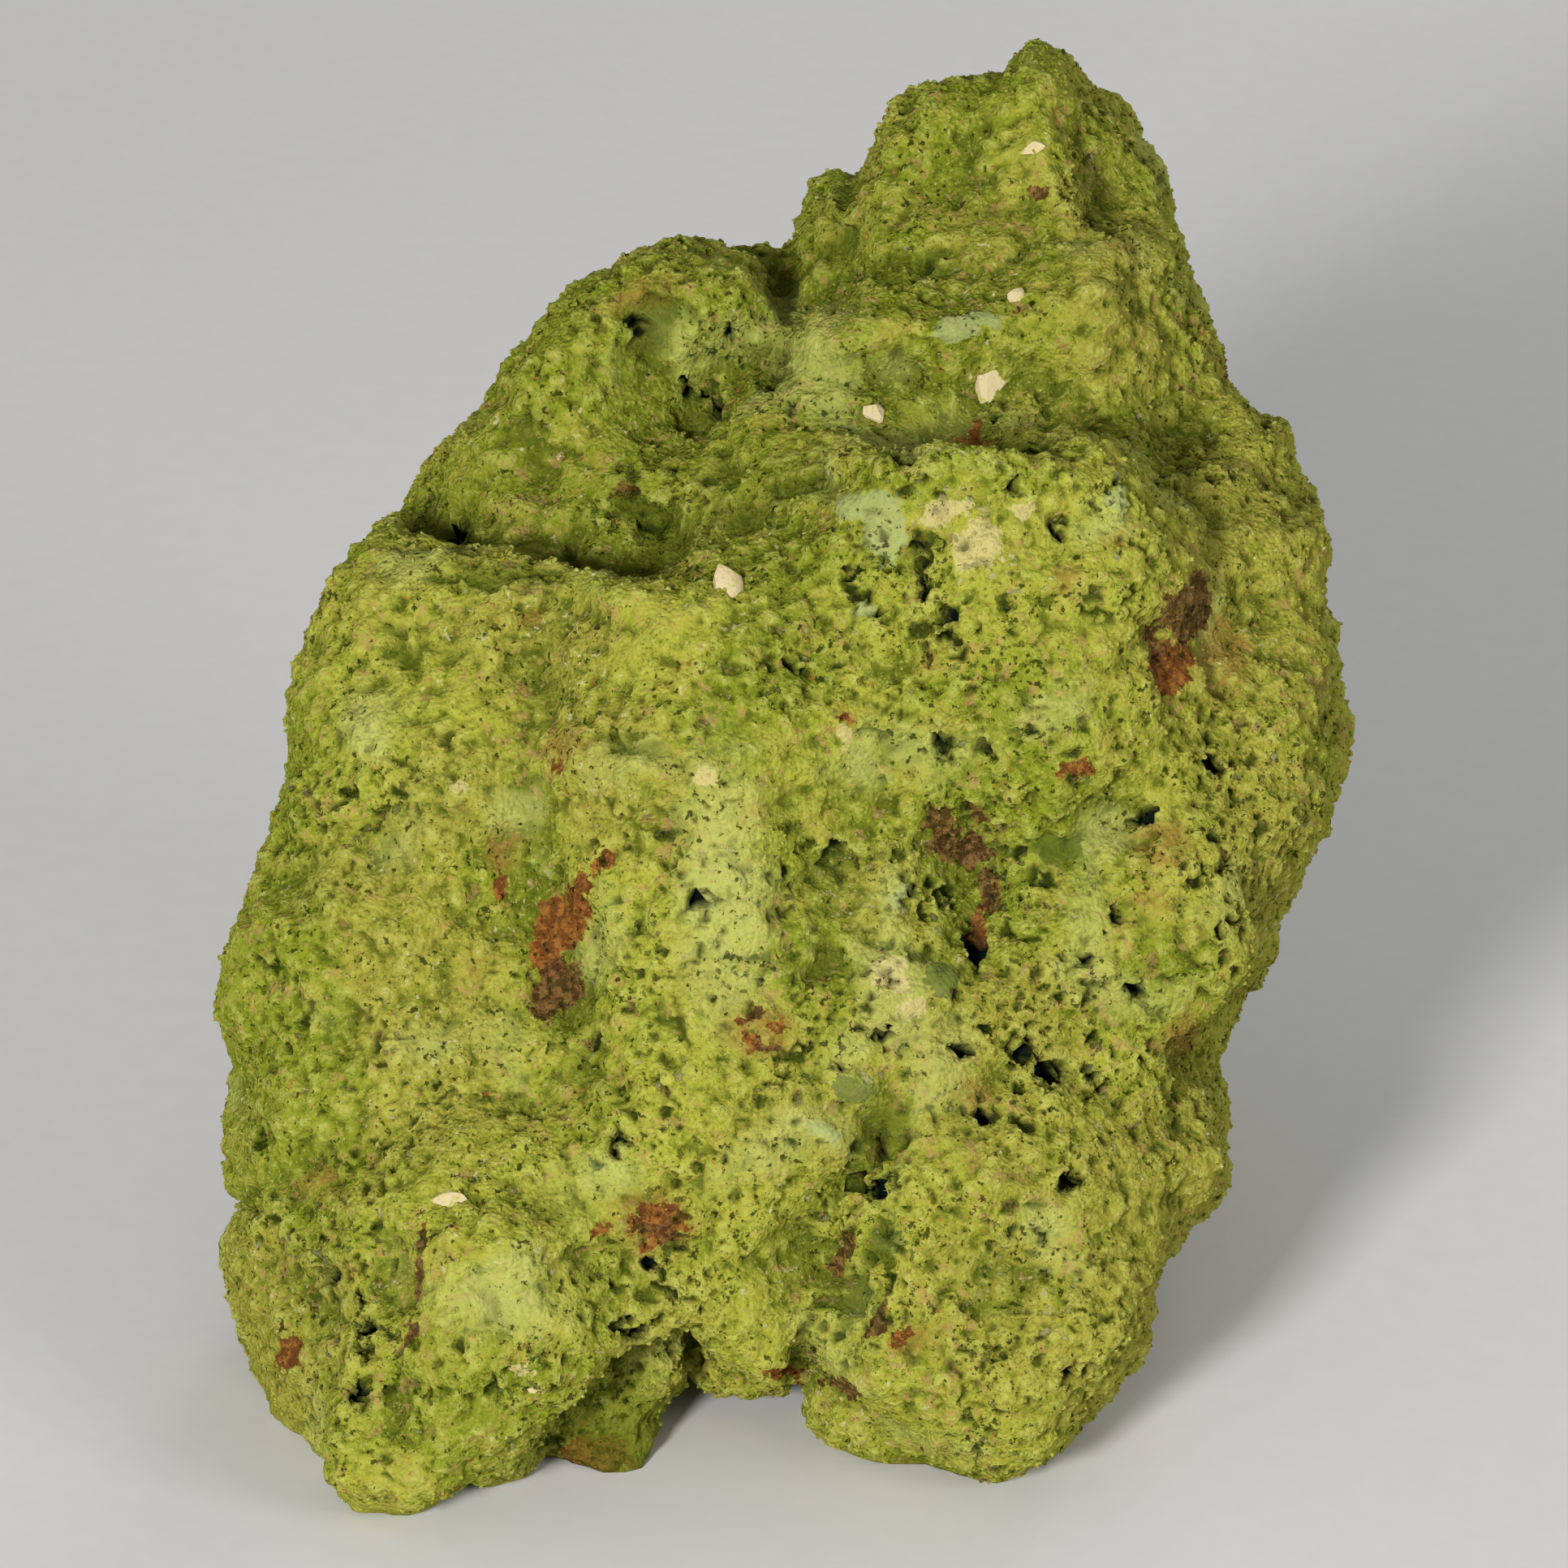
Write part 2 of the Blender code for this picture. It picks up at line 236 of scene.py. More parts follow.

# %% [markdown]
# Pits
# Broken nontronite is full of small caves. The large ones on the face are listed, and smaller ones
# come from noise, in clusters, all round the stone. Each mask also darkens the clay inside later on,
# because light hardly gets out of a pit that narrow.

# %% Pit places and pit masks
# Across, up, half width, half height and roll, in millimetres and degrees.
DEEP_PITS = [
    (8.3, 1.8, 0.45, 0.4, 0), (10.3, 1.5, 0.3, 0.3, 0), (22.3, 0.9, 0.5, 0.6, 20),
    (23.4, -0.4, 0.3, 0.4, 0), (23.1, -3.9, 0.4, 0.45, 0), (23.2, -6.4, 0.5, 0.5, 0),
    (22.6, -7.5, 0.35, 0.4, 0), (15.3, -8.9, 0.55, 0.45, 0), (3.1, -3.7, 0.5, 0.45, 0),
    (-4.2, -6.0, 0.5, 0.45, 0), (6.5, -6.1, 0.45, 0.3, -30), (9.2, -13.6, 0.6, 0.5, 20),
    (12.4, -13.4, 0.6, 0.6, 0), (13.9, -14.8, 0.35, 0.8, 20), (16.1, -15.6, 0.5, 0.5, 0),
    (10.3, -16.5, 0.5, 0.5, 0), (14.6, -20.3, 0.45, 0.5, 0), (-6.0, -26.0, 0.5, 0.45, 0),
    (-6.6, -24.8, 0.4, 0.3, 0), (-8.0, -28.0, 0.8, 0.4, 10), (-21.9, -27.8, 0.6, 1.4, 0),
    (-21.9, -31.3, 0.6, 1.1, 10), (-23.7, -25.2, 0.5, 0.5, 0), (15.0, -30.5, 1.0, 0.4, 30),
    (9.3, -29.0, 0.4, 0.35, 0), (5.5, -21.0, 0.4, 0.8, 0), (-8.2, -18.6, 0.4, 0.4, 0),
    (6.8, 10.4, 0.4, 0.9, 0), (8.4, 8.6, 0.4, 1.0, 5), (4.7, 8.5, 0.7, 0.3, 0),
    (3.2, 11.0, 0.5, 0.4, 0), (0.4, 6.5, 0.35, 0.8, 30), (12.0, 15.4, 0.5, 0.3, 30),
    (14.3, 13.0, 0.3, 0.5, 0), (7.2, 7.0, 0.35, 0.45, 0), (9.4, 4.8, 0.3, 0.3, 0),
    (9.9, -8.4, 0.35, 1.5, 0), (2.6, -14.8, 0.5, 0.35, 0), (17.8, -10.5, 0.35, 0.35, 0),
    (18.6, -14.2, 0.4, 0.45, 0), (18.2, -1.7, 1.1, 0.35, 40), (16.8, -7.0, 0.2, 0.8, -15),
    (6.1, 16.4, 0.5, 0.3, 0), (-1.3, -10.2, 0.35, 0.3, 0), (-7.2, 23.4, 0.9, 0.45, 0),
    (-4.5, 20.5, 0.6, 0.45, 0), (-1.0, 21.0, 0.35, 0.5, 0), (-2.4, 22.9, 0.4, 0.35, 0),
    (-3.8, 19.4, 0.35, 0.6, 0), (0.6, 18.7, 0.4, 0.3, 0), (-11.4, 12.5, 0.9, 0.35, -20),
    (-17.0, 13.5, 1.3, 0.35, -8), (-8.6, 11.7, 0.6, 0.3, 0), (11.0, 17.7, 0.9, 0.25, 0),
    (5.2, -18.9, 0.5, 0.35, 30), (10.9, -4.6, 0.3, 0.5, 0), (6.8, 12.2, 0.35, 0.7, 10),
    (5.0, -13.2, 0.7, 0.3, 10), (-9.6, -13.0, 0.25, 0.3, 0),
]
# Shaded hollows: each is dug in a little and darkened with painted shade. Among them are the bands
# behind the crests and the foot under the arch.
SHADED_PITS = [
    (-6.7, 13.6, 2.0, 0.7, -28), (-6.7, 23.6, 1.2, 1.8, 0), (-0.8, 21.0, 0.9, 1.3, -20),
    (-4.5, 18.9, 1.1, 0.9, 0), (3.0, 30.7, 0.8, 0.7, 0), (2.2, 27.5, 0.9, 0.8, 0),
    (-19.8, 7.0, 1.2, 0.8, -10), (-8.0, 2.0, 1.7, 0.5, -12), (11.5, 18.2, 3.2, 0.6, -4),
    (14.3, -3.4, 1.1, 0.8, 20), (4.2, -25.0, 0.6, 2.4, -25), (-14.5, 10.6, 3.0, 0.6, -5),
    (-2.5, 13.6, 1.5, 0.7, 20), (-3.3, 16.0, 1.2, 0.8, 30), (6.3, 26.8, 2.4, 0.5, 15),
    (2.2, -9.0, 0.9, 0.6, -20), (-16.8, 13.4, 2.8, 0.7, -8), (-11.0, 12.4, 2.2, 0.8, -12),
    (1.0, 15.5, 1.6, 0.6, 10), (-13.5, 18.0, 1.2, 0.7, 20), (-6.5, 12.3, 2.0, 0.6, 0),
    (-7.0, -34.2, 4.0, 2.8, 0), (5.0, -18.0, 1.8, 1.6, 0), (8.0, 17.6, 2.5, 0.5, 0),
]

# Parts of the face where the clay is most porous, given in the same way.
POROUS_FIELDS = [
    (6.5, 8.0, 6.5, 5.5, 0), (13.0, -14.0, 6.0, 6.0, 0), (22.5, -3.5, 3.0, 7.0, 0),
    (10.0, -5.0, 5.5, 4.5, 0), (4.5, -24.0, 3.5, 6.5, -25), (-7.0, -26.0, 4.0, 3.5, 0),
    (-22.0, -29.0, 2.5, 6.0, 0), (14.0, -28.5, 6.0, 4.0, 0), (-4.5, -8.0, 3.5, 6.0, 0),
    (-6.5, -17.0, 4.5, 3.5, 0), (11.0, 1.5, 5.5, 3.0, 0), (3.5, -12.5, 4.0, 4.0, 0),
]

# Size in millimetres, seed and octaves of each noise, and the values between which it fades in.
PIT_EDGES = (0.55, 21, 0, -0.4, -0.05)
PORE_CLUSTERS = (6, 3, 2, 0.0, 0.5)
PORE_PATCHES = (3, 25, 2, -0.3, 0.25)
FINE_PORES = (0.6, 5, 0, 0.38, 0.46)
# The wide pores come from two noises, given by size and seed, which are added before they fade in.
WIDE_PORES = (1.0, 4)
WIDE_PORE_EDGES = (0.45, 24)
WIDE_PORE_STEP = (0.47, 0.57)


def pit_masks(points):
    """Masks of the deep pits, the shaded hollows, the porous fields and all the pores."""
    deep = marks(warped, DEEP_PITS, softness=0.3) * spots(points, *PIT_EDGES)
    shaded = marks(warped, SHADED_PITS, softness=0.6)
    patchy = 0.25 + 0.75 * spots(points, *PORE_PATCHES)
    fields = marks(plain, POROUS_FIELDS, softness=0.7) * patchy
    porous = np.maximum(fields, 0.8 * spots(points, *PORE_CLUSTERS))
    uneven = noise_at(points, *WIDE_PORES) + 0.6 * noise_at(points, *WIDE_PORE_EDGES)
    wide_pores = step_up(uneven, *WIDE_PORE_STEP) * porous
    fine_pores = spots(points, *FINE_PORES) * (0.2 + 0.8 * porous)
    return deep, shaded, porous, np.maximum(wide_pores, fine_pores)


deep, shaded, porous, pores = pit_masks(coordinates(skin))
print("share of the skin in pits:", round(float((np.maximum(deep, pores) > 0.5).mean()), 3))

# %% [markdown]
# Stains and smooth places
# Some clay has turned to rust, some is umber brown, and some is packed smooth and pale. These masks
# are kept on the mesh as attributes, which the material reads as colours and which also say where the
# relief is high or low.

# %% Stain masks
# Wide fields of greener and of browner clay. The green fields are partly greener clay and partly
# painted shade: those on the bands behind the crests, on the foot under the arch and on the middle
# that faces right stand for the shade there.
GREEN_AND_SHADED_FIELDS = [
    (-7.0, 22.0, 12.0, 7.5, 20), (6.0, 29.0, 9.0, 9.0, 0), (-8.0, 13.8, 14.0, 3.2, -8),
    (-27.0, -8.0, 5.0, 18.0, 5), (4.0, 21.0, 8.0, 3.0, 0), (-14.0, -32.5, 7.0, 4.0, 0),
    (13.5, -3.5, 3.0, 3.0, 0), (2.0, -7.5, 3.0, 4.0, 0), (9.0, -3.0, 6.0, 9.0, 0),
    (11.5, -1.0, 5.0, 7.0, 0), (8.0, 15.5, 5.0, 1.6, 0), (-6.0, 12.5, 8.0, 2.2, -10),
]
TAN_FIELDS = [
    (23.5, 10.0, 4.5, 9.0, 0), (20.0, -22.0, 7.0, 8.0, 0), (24.5, -3.0, 3.5, 7.0, 0),
    (-26.5, -28.0, 4.0, 6.0, 0), (12.0, -27.0, 7.0, 6.0, 0), (-13.0, 7.5, 5.0, 3.0, 0),
    (17.0, 26.0, 3.0, 8.0, 10), (19.5, -3.2, 2.2, 1.8, 0), (-18.0, -12.0, 4.0, 7.0, 0),
    (-1.1, -12.8, 1.9, 1.4, 0), (-7.0, -22.8, 2.4, 1.7, 0),
]
RUST = [
    (-9.3, -4.0, 0.9, 0.45, 40), (-10.5, -5.4, 1.0, 0.5, 50), (-11.4, -7.3, 1.2, 1.7, -20),
    (-12.1, -9.0, 0.8, 1.2, 0), (-14.4, -5.4, 0.3, 0.6, -15), (-8.0, 15.0, 0.5, 0.25, 0),
    (-6.8, -34.9, 1.6, 0.5, 0), (-6.3, -22.5, 1.3, 1.1, 20), (-8.0, -22.9, 0.6, 0.35, 0),
    (-9.5, -22.8, 0.3, 0.6, 0), (-1.7, -13.2, 0.55, 0.5, 0), (-0.4, -12.5, 0.55, 0.4, 0),
    (15.2, 0.7, 1.1, 0.35, 5), (-7.0, -23.9, 0.6, 0.25, 0), (-2.2, -12.0, 0.3, 0.3, 0),
    (-15.0, -16.0, 0.3, 0.35, 0), (-25.4, -29.3, 0.6, 0.9, -20), (19.9, 6.0, 1.0, 1.4, -10),
    (10.0, -7.4, 0.4, 1.3, 0), (5.9, -28.4, 0.6, 0.4, 0), (0.0, -30.2, 1.0, 0.35, -10),
    (-9.4, -34.6, 2.0, 0.8, 0), (9.7, 18.6, 0.5, 0.4, -30), (-11.8, 0.9, 0.3, 0.5, 20),
    (3.0, 3.3, 0.25, 0.25, 0),
]
UMBER = [
    (-11.6, -10.2, 1.15, 1.2, -20), (-12.4, -11.5, 0.7, 0.7, 20), (20.7, 8.8, 0.9, 1.6, -20),
    (19.2, 6.6, 0.35, 1.3, 0), (8.3, -2.5, 0.8, 1.4, 0), (9.7, -3.5, 1.0, 0.8, 20),
    (9.9, -1.7, 0.4, 0.5, 0), (10.4, -5.3, 0.45, 1.2, 0), (3.0, -24.2, 0.5, 1.7, -25),
    (4.8, -27.4, 0.4, 1.4, -30), (-8.2, 14.9, 0.8, 0.35, 0), (-18.7, -23.4, 0.2, 1.0, -8),
    (-19.2, -25.6, 0.2, 1.4, -6), (13.0, 30.4, 0.6, 0.35, 0), (-1.4, -11.9, 0.4, 0.3, 0),
    (3.1, -31.0, 1.4, 0.4, -25), (4.9, -18.6, 0.7, 0.6, 0), (-19.5, -28.0, 0.18, 1.2, -3),
    (-5.9, -23.2, 0.5, 0.7, 20), (-7.3, -22.9, 0.5, 0.3, 0), (-0.8, -13.5, 0.6, 0.3, 0),
    (21.2, 10.4, 0.4, 0.5, 0),
]
# Tawny spots, where the clay is only a little rusty.
TAWNY_SPOTS = [
    (-1.2, -12.7, 1.8, 1.4, 0), (-24.0, -20.4, 0.9, 0.8, 0), (20.7, -12.9, 1.2, 1.0, 0),
    (9.8, -15.8, 0.9, 0.8, 0), (-7.2, 25.2, 1.7, 0.9, 20), (3.1, 3.5, 0.6, 0.7, 0),
    (-15.7, -9.6, 0.5, 0.4, 0), (-22.5, -25.0, 0.6, 0.5, 0), (18.8, -5.9, 0.9, 0.6, 0),
    (12.9, -10.1, 0.5, 0.5, 0), (7.4, 6.3, 0.5, 0.5, 0), (14.6, 10.6, 0.5, 0.8, 0),
    (19.4, -3.1, 1.4, 1.1, 0), (-13.0, 8.6, 0.5, 0.5, 0), (22.5, 6.5, 1.4, 2.0, 0),
    (-14.5, -3.5, 0.9, 1.1, 0), (-11.5, 2.0, 1.2, 0.8, 0), (17.0, 12.5, 0.9, 0.6, 0),
    (-6.6, -22.4, 2.1, 1.5, 0), (6.5, -28.5, 1.2, 0.8, 0),
]
PALE = [
    (-3.0, -5.4, 2.2, 6.4, 4), (5.3, -9.3, 1.5, 1.6, -20), (6.4, -11.2, 0.9, 1.1, 0),
    (-14.6, -26.6, 3.4, 1.6, -8), (-13.6, -24.6, 2.0, 1.2, 10), (4.2, 1.4, 0.9, 1.5, 0),
    (16.8, 13.4, 1.4, 1.0, 0), (-14.0, -1.5, 1.2, 1.2, 0), (5.4, -6.0, 0.8, 1.6, 0),
    (-9.0, -20.0, 1.6, 1.0, 0), (13.4, -22.5, 1.2, 0.9, 0), (-21.5, 3.0, 1.3, 1.8, 0),
    (1.6, -17.6, 1.8, 1.0, -20),
]
# Glassy grey-green grains and bottle-green ones, broken flush with the clay.
GLASSY = [
    (4.3, 14.2, 2.1, 0.95, -10), (5.2, 12.7, 1.1, 1.5, 0), (9.3, 23.5, 1.9, 0.55, 12),
    (6.1, -5.8, 0.5, 0.7, -30), (4.0, 9.0, 0.6, 0.45, 0), (17.2, 14.6, 0.7, 0.7, 0),
    (2.0, -17.8, 0.8, 0.5, 0),
]
BOTTLE = [
    (8.0, -9.9, 0.9, 0.95, 20), (3.5, -15.6, 1.2, 0.55, 15), (5.6, -23.7, 0.8, 0.7, 0),
    (14.3, -3.4, 1.3, 0.65, 20), (-9.6, -13.9, 0.45, 0.3, 0), (4.8, -27.0, 0.5, 0.6, 0),
    (-9.8, -19.8, 0.4, 0.3, 0),
]
CREAMY = [
    (9.9, 12.2, 1.2, 1.5, -20), (8.2, 13.9, 1.3, 0.5, 20), (5.5, -9.6, 0.9, 0.9, 0),
    (-4.0, 0.5, 0.6, 0.5, 0), (3.0, 2.4, 0.4, 0.5, 0), (-13.4, -30.2, 0.7, 0.3, -8),
    (6.6, -11.6, 0.7, 0.7, 0), (-16.5, -0.2, 0.6, 0.25, 5), (12.2, 14.0, 0.6, 0.5, 0),
]

# Size in millimetres, seed and octaves of each noise, and the values between which it fades in.
STAIN_GROUPS = (7, 6, 2, 0.25, 0.6)
GREEN_PATCHES = (13, 20, 2, 0, 0.5)
TAN_PATCHES = (12, 22, 2, 0.1, 0.6)
RUST_SPOTS = (1.7, 7, 0, 0.3, 0.45)
UMBER_SPOTS = (2, 8, 0, 0.42, 0.55)
PALE_PATCHES = (6, 9, 2, 0.3, 0.7)
CREAMY_SPOTS = (1.5, 23, 0, 0.45, 0.6)


def turned_away(bm):
    """1 where the surface can't be seen from the viewing point, 0 where it can."""
    bm.normal_update()
    normals = np.array([vert.normal for vert in bm.verts])
    return step_up(normals @ np.array(AWAY), -0.2, 0.2)


def stain_masks(points):
    """The stains on the face, the green fields among them partly painted shade, and others from noise on
    the sides that aren't seen, by name.
    """
    elsewhere = spots(points, *STAIN_GROUPS) * turned_away(skin)
    drawn = {
        "green": marks(plain, GREEN_AND_SHADED_FIELDS, 0.5, 12),
        "tan": marks(plain, TAN_FIELDS, 0.6, 8),
        "rust": marks(lightly_warped, RUST, 0.25),
        "umber": marks(lightly_warped, UMBER, 0.25),
        "tawny": marks(lightly_warped, TAWNY_SPOTS, 0.5),
        "pale": marks(warped, PALE, 0.6),
        "glassy": marks(lightly_warped, GLASSY, 0.25),
        "bottle": marks(lightly_warped, BOTTLE, 0.25),
        "creamy": marks(lightly_warped, CREAMY),
    }
    strewn = {
        "green": spots(points, *GREEN_PATCHES),
        "tan": spots(points, *TAN_PATCHES),
        "rust": elsewhere * spots(points, *RUST_SPOTS),
        "umber": elsewhere * spots(points, *UMBER_SPOTS),
        "pale": 0.7 * spots(points, *PALE_PATCHES),
        "creamy": elsewhere * spots(points, *CREAMY_SPOTS),
    }
    return drawn | {name: np.maximum(drawn[name], mask) for name, mask in strewn.items()}


stains = stain_masks(coordinates(skin))
pale = stains["pale"]
glass = np.maximum(stains["glassy"], stains["bottle"])
stained_share = {name: round(float((mask > 0.5).mean()), 3) for name, mask in stains.items()}
print("share of the skin in each stain:", stained_share)

# %% [markdown]
# Crumbly relief
# The surface is made of clods that are made of crumbs that are made of grains. Cell noise gives each
# of them a rounded top with a sharp crease round it, which plain noise lacks. The broad hollows and
# swells come first, then the clods, the crumbs and the grains, each along the normals that the last
# step left, and the pits go in at the end.

# %% Displace the skin
# Size of the lumps and how far they stand out, in millimetres, and a seed.
SWELLS = (7, 0.5, 10)
CLODS = (3.2, 0.6, 11)
CRUMBS = (1.2, 0.6, 12)
GRAINS = (0.6, 0.36, 13)
# The cell distance that stays where it is: nearer the middle of a lump is raised, the rest sinks.
CELL_LEVEL = 0.45
# How much of the fine relief packed clay and glassy grains lose.
PALE_CALM = 0.35
GLASS_CALM = 0.6
PIT_DEPTH = 1.1
SHADE_DEPTH = 0.5
# Where the stone departs a little from the solid: two dents are shallower, a lobe is flatter, and the
# crests are sharper. The places are given as before, and the heights are in millimetres.
FILLED = [(4.2, -20.8, 2.6, 3.0, -10), (-12.3, -16.6, 6.0, 3.4, -6)]
FILL_HEIGHT = 1.2
FLATTENED = [(-13.2, -24.8, 3.2, 2.6, 0)]
FLATTENED_BY = 0.8
CREST_EDGES = [(-12.0, 10.3, 8.0, 0.8, -10), (9.0, 16.3, 6.5, 0.7, -3)]
BEHIND_CRESTS = [(-12.0, 12.7, 7.5, 0.9, -13), (8.5, 18.3, 6.0, 0.8, -4)]
CREST_HEIGHT = 0.6
CREST_DROP = 1.2
GLASS_HEIGHT = 0.2
PORE_DEPTH = 0.42
SOLE_FADE = 1.5 * MM
# Smoothing passes and the height, in millimetres, that counts as full, for small and for wide relief.
FINE_RELIEF = (9, 0.15)
BROAD_RELIEF = (160, 0.9)


def push(bm, heights):
    """Moves every point out by its height in millimetres, and keeps the sole on the floor."""
    bm.normal_update()
    for vert, height in zip(bm.verts, heights):
        fade = min(1, vert.co.z / SOLE_FADE)
        vert.co += vert.normal * float(height) * fade * MM
        vert.co.z = max(vert.co.z, 0)


def lumps(points, size, height, seed):
    """Rounded lumps with sharp creases between them."""
    return height * (CELL_LEVEL - cells_at(points, size, seed))


def swells(points, size, height, seed):
    """A slow rise and fall."""
    return height * noise_at(points, size, seed, 2)


def roughen_skin(bm):
    points = coordinates(bm)
    calm = 1 - np.maximum(PALE_CALM * pale, GLASS_CALM * glass)
    form = GLASS_HEIGHT * glass + FILL_HEIGHT * marks(plain, FILLED, 0.8)
    form -= FLATTENED_BY * marks(plain, FLATTENED, 0.8)
    form += CREST_HEIGHT * marks(plain, CREST_EDGES, 0.7, 6)
    form -= CREST_DROP * marks(plain, BEHIND_CRESTS, 0.7, 8)
    push(bm, form + swells(points, *SWELLS) - SHADE_DEPTH * shaded)
    push(bm, lumps(points, *CLODS))
    push(bm, calm * lumps(points, *CRUMBS))
    push(bm, calm * lumps(points, *GRAINS))
    push(bm, -PIT_DEPTH * deep - PORE_DEPTH * pores * (1 - GLASS_CALM * glass))


def evened(points, edges, passes):
    """The points after each has moved half-way to the middle of its neighbours, again and again."""
    first, second = edges.T
    neighbours = np.bincount(edges.ravel(), minlength=len(points))
    for _ in range(passes):
        around = []
        for values in points.T:
            total = np.bincount(first, values[second], len(points))
            total += np.bincount(second, values[first], len(points))
            around.append(total / neighbours)
        points = 0.5 * points + 0.5 * np.array(around).T
    return points


def standing_out(bm, passes, full):
    """How far each point stands out of the smoothed surface round it: 1 on tips, -1 in hollows."""
    bm.normal_update()
    points = coordinates(bm)
    normals = np.array([vert.normal for vert in bm.verts])
    edges = np.array([(edge.verts[0].index, edge.verts[1].index) for edge in bm.edges])
    gap = ((points - evened(points, edges, passes)) * normals).sum(axis=1)
    return np.clip(gap / (full * MM), -1, 1)


roughen_skin(skin)
skin.verts.index_update()
proud = standing_out(skin, *FINE_RELIEF)
broad = standing_out(skin, *BROAD_RELIEF)
print("roughened; points in creases:", round(float((proud < -0.5).mean()), 3))

# %% Turn the skin into the stone piece
SKIN_TRIANGLES = 198000
# No loose crumbs lie lower than this.
CRUMB_FLOOR = 0.5 * MM


def write_masks(mesh, masks):
    for name, values in masks.items():
        attribute = mesh.attributes.new(name, "FLOAT", "POINT")
        attribute.data.foreach_set("value", values.astype(np.float32))


def crumb_room(points):
    """Where loose crumbs may lie: not in pits, few on packed clay, none near the floor."""
    open_clay = (1 - np.maximum(deep, pores)) * (1 - glass)
    loose = (1 - 0.6 * pale) * (1 - 0.5 * shaded)
    return open_clay * loose * (points[:, 2] > CRUMB_FLOOR) * step_up(proud, -0.9, 0.1)


def thinned(thing, triangles):
    """The same object with fewer faces. Collapsing keeps the creases and carries the masks along."""
    modifier = thing.modifiers.new("fewer_faces", "DECIMATE")
    modifier.ratio = triangles / (2 * len(thing.data.polygons))
    bpy.context.view_layer.update()
    mesh = bpy.data.meshes.new_from_object(thing.evaluated_get(bpy.context.evaluated_depsgraph_get()))
    thing.modifiers.remove(modifier)
    thing.data = mesh
    return thing


masks = {"deep": deep, "shaded": shaded, "porous": porous, "pores": pores}
masks |= {"proud": proud, "broad": broad, "crumb_room": crumb_room(coordinates(skin))}
stone = object_from(skin, "stone_skin")
write_masks(stone.data, masks | stains)
stone = thinned(stone, SKIN_TRIANGLES)
for polygon in stone.data.polygons:
    polygon.use_smooth = True
print("stone skin:", sum(len(polygon.vertices) - 2 for polygon in stone.data.polygons), "triangles")

# %% [markdown]
# Shader groups
# Two effects are used again and again, so each is a node group with named inputs: a fine grain that
# gives both a tint and a height, and spots that come in clusters, which serve for pores, specks and
# dust. They read whatever vector they are given, here the object's own coordinates in metres.

# %% Node helpers
def add_node(tree, kind, **settings):
    node = tree.nodes.new(kind)
    for name, value in settings.items():
        setattr(node, name, value)
    return node


def new_group(name, inputs, outputs):
    """A shader group with its sockets: each input has a kind and a default."""
    group = bpy.data.node_groups.new(name, "ShaderNodeTree")
    for label, (kind, default) in inputs.items():
        socket = group.interface.new_socket(label, in_out="INPUT", socket_type=kind)
        if default is not None:
            socket.default_value = default
    for label in outputs:
        group.interface.new_socket(label, in_out="OUTPUT", socket_type="NodeSocketFloat")
    return group, add_node(group, "NodeGroupInput"), add_node(group, "NodeGroupOutput")


def noise_node(tree, vector, scale, detail=2.0, roughness=0.5):
    node = add_node(tree, "ShaderNodeTexNoise")
    tree.links.new(vector, node.inputs["Vector"])
    if hasattr(scale, "links"):
        tree.links.new(scale, node.inputs["Scale"])
    else:
        node.inputs["Scale"].default_value = scale
    node.inputs["Detail"].default_value = detail
    node.inputs["Roughness"].default_value = roughness
    return node.outputs["Fac"]


def remap(tree, value, low, high, to_low=0.0, to_high=1.0):
    node = add_node(tree, "ShaderNodeMapRange", interpolation_type="SMOOTHSTEP")
    tree.links.new(value, node.inputs["Value"])
    for name, number in {"From Min": low, "From Max": high, "To Min": to_low, "To Max": to_high}.items():
        if hasattr(number, "links"):
            tree.links.new(number, node.inputs[name])
        else:
            node.inputs[name].default_value = number
    return node.outputs["Result"]


def maths(tree, operation, *values):
    node = add_node(tree, "ShaderNodeMath", operation=operation)
    for socket, value in zip(node.inputs, values):
        if hasattr(value, "links"):
            tree.links.new(value, socket)
        else:
            socket.default_value = value
    return node.outputs["Value"]


def times(tree, *values):
    return maths(tree, "MULTIPLY", *values)


# %% The two groups
PER_METRE = 1 / MM


def fine_grain_group():
    inputs = {"Vector": ("NodeSocketVector", None), "Size in mm": ("NodeSocketFloat", 0.3)}
    group, given, result = new_group("fine grain", inputs, ["Tint", "Height"])
    scale = maths(group, "DIVIDE", PER_METRE, given.outputs["Size in mm"])
    cells = add_node(group, "ShaderNodeTexVoronoi", feature="F1")
    group.links.new(given.outputs["Vector"], cells.inputs["Vector"])
    group.links.new(scale, cells.inputs["Scale"])
    rough = noise_node(group, given.outputs["Vector"], scale, 6.0, 0.75)
    rounded = maths(group, "SUBTRACT", 1.0, cells.outputs["Distance"])
    height = maths(group, "ADD", times(group, rounded, 0.6), times(group, rough, 0.6))
    group.links.new(rough, result.inputs["Tint"])
    group.links.new(height, result.inputs["Height"])
    return group


def clustered_spots_group():
    inputs = {
        "Vector": ("NodeSocketVector", None),
        "Size in mm": ("NodeSocketFloat", 0.4),
        "Cluster size in mm": ("NodeSocketFloat", 5.0),
        "Threshold": ("NodeSocketFloat", 0.62),
    }
    group, given, result = new_group("clustered spots", inputs, ["Mask"])
    scale = maths(group, "DIVIDE", PER_METRE, given.outputs["Size in mm"])
    cluster_scale = maths(group, "DIVIDE", PER_METRE, given.outputs["Cluster size in mm"])
    fine = noise_node(group, given.outputs["Vector"], scale, 3.0, 0.6)
    wide = noise_node(group, given.outputs["Vector"], cluster_scale, 2.0)
    lift = remap(group, wide, 0.3, 0.7, 0.05, -0.05)
    low = maths(group, "ADD", given.outputs["Threshold"], lift)
    high = maths(group, "ADD", low, 0.06)
    group.links.new(remap(group, fine, low, high), result.inputs["Mask"])
    return group


FINE_GRAIN = fine_grain_group()
CLUSTERED_SPOTS = clustered_spots_group()
print("shader groups:", [FINE_GRAIN.name, CLUSTERED_SPOTS.name])
